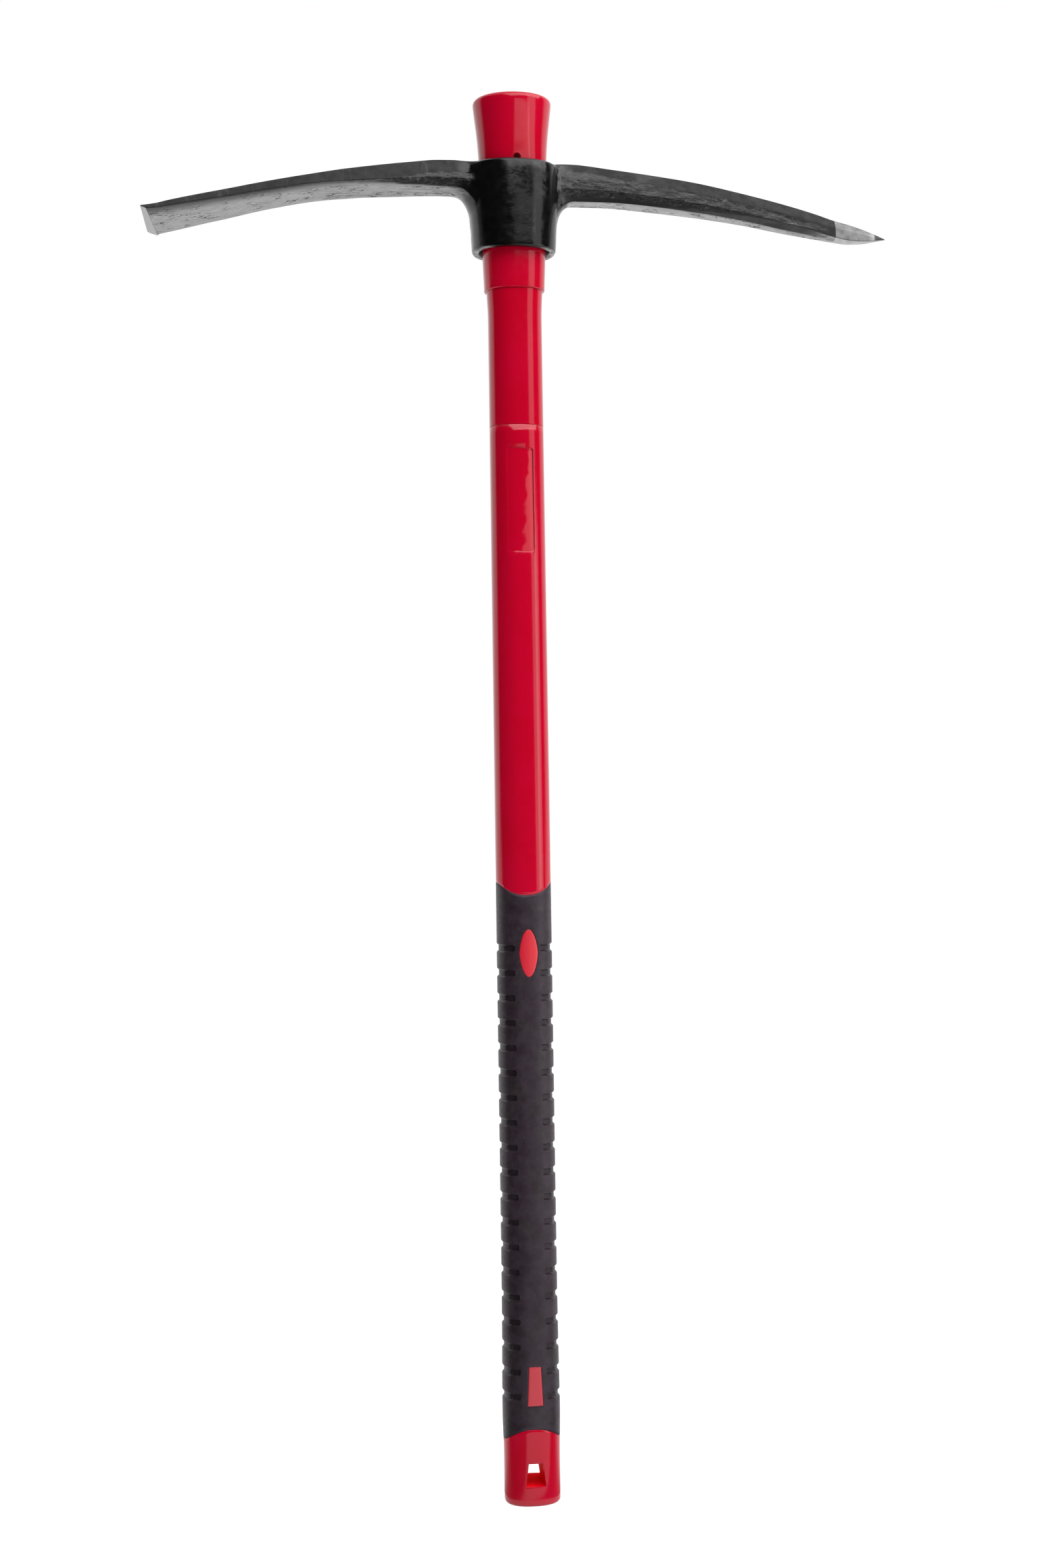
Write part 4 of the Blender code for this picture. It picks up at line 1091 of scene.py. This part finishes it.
def blade_tip_rings():
    """The ground bevel: the underside rises to the slanting edge, whose two corners are rounded."""
    start = arm_section(BLADE_SECTIONS, BLADE_HEEL)
    edge_low = BLADE_EDGE_HEIGHT - BLADE_EDGE_THICKNESS
    half = BLADE_EDGE_HALF
    edge = arm_ring(BLADE_LENGTH, edge_low, BLADE_EDGE_HEIGHT, half, half, half, BELLY_SHARE)
    rings = []
    for k in range(CORNER_STEPS + 1):
        turn = pi / 2 * k / CORNER_STEPS
        share, inset = sin(turn), 1 - cos(turn)
        slant = HEEL_SLANT + (EDGE_SLANT - HEEL_SLANT) * share
        ring = []
        for (_, y, z), (_, edge_y, edge_z) in zip(start, edge):
            corner = FRONT_CORNER if y < 0 else BACK_CORNER
            y += (edge_y - y) * share
            y *= 1 - corner / half * inset
            x = BLADE_HEEL + BEVEL_LENGTH * share - slant * y / half
            ring.append((x, y, z + (edge_z - z) * share))
        rings.append(ring)
    return rings


def blade_rings():
    rings = arm_rings(BLADE_SECTIONS, BLADE_FILLET, BLADE_HEEL - HEEL_SLANT - ARM_STEP) + blade_tip_rings()
    return [[(-x, y, z) for x, y, z in ring] for ring in rings]


def eye_rings():
    foot = spaced(EYE_FOOT, EYE_SECTIONS[3][0], 0.2 * MM)
    wall_shade = spaced(EYE_SECTIONS[3][0], EYE_SECTIONS[-2][0], ARM_STEP)
    rim = spaced(EYE_SECTIONS[-2][0], EYE_TOP, 0.2 * MM)
    heights = foot[:-1] + wall_shade[:-1] + rim
    return [eye_ring(height, *smooth_between(EYE_SECTIONS, height)) for height in heights]


def eye_bore():
    """Cutter for the tapered hole through the eye, a little wider at the foot's edge."""
    below, above = EYE_FOOT - PAST_END, EYE_TOP + PAST_END
    rings = []
    for height, lead in ((below, BORE_MOUTH), (EYE_FOOT + BORE_LEAD, 0.0), (above, 0.0)):
        share = (height - EYE_FOOT) / (EYE_TOP - EYE_FOOT)
        half_x, half_y = (foot + (top - foot) * share + lead for foot, top in zip(BORE_FOOT, BORE_TOP))
        rings.append(oval_ring(half_x, half_y, height, points=EYE_POINTS))
    return ring_object("eye_bore", rings)


def smooth_roots(mesh):
    """Softens the line where each arm meets the eye."""
    build = bmesh.new()
    build.from_mesh(mesh)
    bmesh.ops.remove_doubles(build, verts=build.verts, dist=0.02 * MM)
    near, far = SMOOTH_REACH
    for _ in range(SMOOTH_ROUNDS):
        roots = [v for v in build.verts if near < abs(v.co.x) < far and SMOOTH_FOOT < v.co.z < SMOOTH_TOP]
        axes = {f"use_axis_{axis}": True for axis in "xyz"}
        bmesh.ops.smooth_vert(build, verts=roots, factor=0.5, **axes)
    build.to_mesh(mesh)
    build.free()


def band_share(place, normal):
    """How far a place lies in the rough band of an arm's side, from 0 to 1."""
    sections, band = (BLADE_SECTIONS, BLADE_BAND) if place.x < 0 else (PICK_SECTIONS, PICK_BAND)
    reach = abs(place.x)
    start, end = band[0][0], band[-1][0]
    if not start < reach < end:
        return 0.0
    low, high, *_ = smooth_between(sections, reach)
    bottom, top = smooth_between(band, reach)
    share = (place.z - low) / (high - low)
    ragged = BAND_RAGGED * noise.noise(place * RAGGED_WAVES)
    inside = step_up(share, bottom - 0.03, bottom + 0.02)
    inside *= 1 - step_up(share + ragged, top - 0.05, top + 0.02)
    ends = step_up(reach, start, start + 2 * MM) * (1 - step_up(reach, end - 6 * MM, end))
    return inside * ends * step_up(abs(normal.y), 0.45, 0.75)


def front_share(place):
    """How far across the blade a place lies, from 0 at its back edge to 1 at its front edge."""
    if place.x > -BLADE_SECTIONS[0][0]:
        return 0.0
    widest = smooth_between(BLADE_SECTIONS, -place.x)[2]
    return min(max((1 - place.y / widest) / 2, 0.0), 1.0)


def forge_marks(mesh):
    """Dents of the hammer and the die, deepest in the rough bands; the paint reads the shares kept here."""
    shares, fronts, moves = [], [], []
    for vertex in mesh.vertices:
        place, normal = vertex.co, vertex.normal
        fronts.append(front_share(place))
        share = band_share(place, normal)
        below = step_up(-normal.z, 0.5, 0.9)
        coarse = noise.noise(place * BAND_WAVES)
        fine = noise.noise(place * GRAIN_WAVES)
        broad = noise.noise(place * UNDERSIDE_WAVES)
        skin = noise.noise(place * SKIN_WAVES)
        depth = share * (BAND_DENTS * (coarse - 0.5) + BAND_GRAIN * fine)
        depth += below * UNDERSIDE_DENTS * broad + SKIN_DENTS * skin * (1 - share)
        if place.z > SMOOTH_TOP and abs(place.x) < PLAIN_REACH or place.x > POINT_BORDER:
            depth = 0.0
        moves.append(place + normal * depth)
        shares.append(share)
    for vertex, place in zip(mesh.vertices, moves):
        vertex.co = place
    for name, values in (("scale", shares), ("across", fronts)):
        mesh.attributes.new(name, "FLOAT", "POINT").data.foreach_set("value", values)


def forged_head(paint):
    """One forging: the eye, the adze blade and the pick point, bored through for the handle."""
    head = ring_object("forged_head", eye_rings())
    combine(head, ring_object("blade_arm", blade_rings()), "UNION")
    pick = arm_rings(PICK_SECTIONS, PICK_FILLET, PICK_SECTIONS[-1][0])
    combine(head, ring_object("pick_arm", pick), "UNION")
    combine(head, eye_bore(), "DIFFERENCE")
    smooth_roots(head.data)
    forge_marks(head.data)
    finish_piece(head, paint, "pick_head", "head", sharp=50)


def main():
    bpy.context.scene.view_settings.view_transform = "Standard"
    add_camera()
    add_world()
    add_floor()
    for name, values in SOFTBOXES.items():
        add_softbox(name, *values)
    red = red_plastic()
    head_end(red)
    upper_sleeve(red)
    lower_sleeve(red, inner_plastic())
    rubber_sleeve(rubber())
    forged_head(forged_steel())
    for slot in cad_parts["fibreglass_core"].material_slots:
        slot.material = glass_fibre()


main()
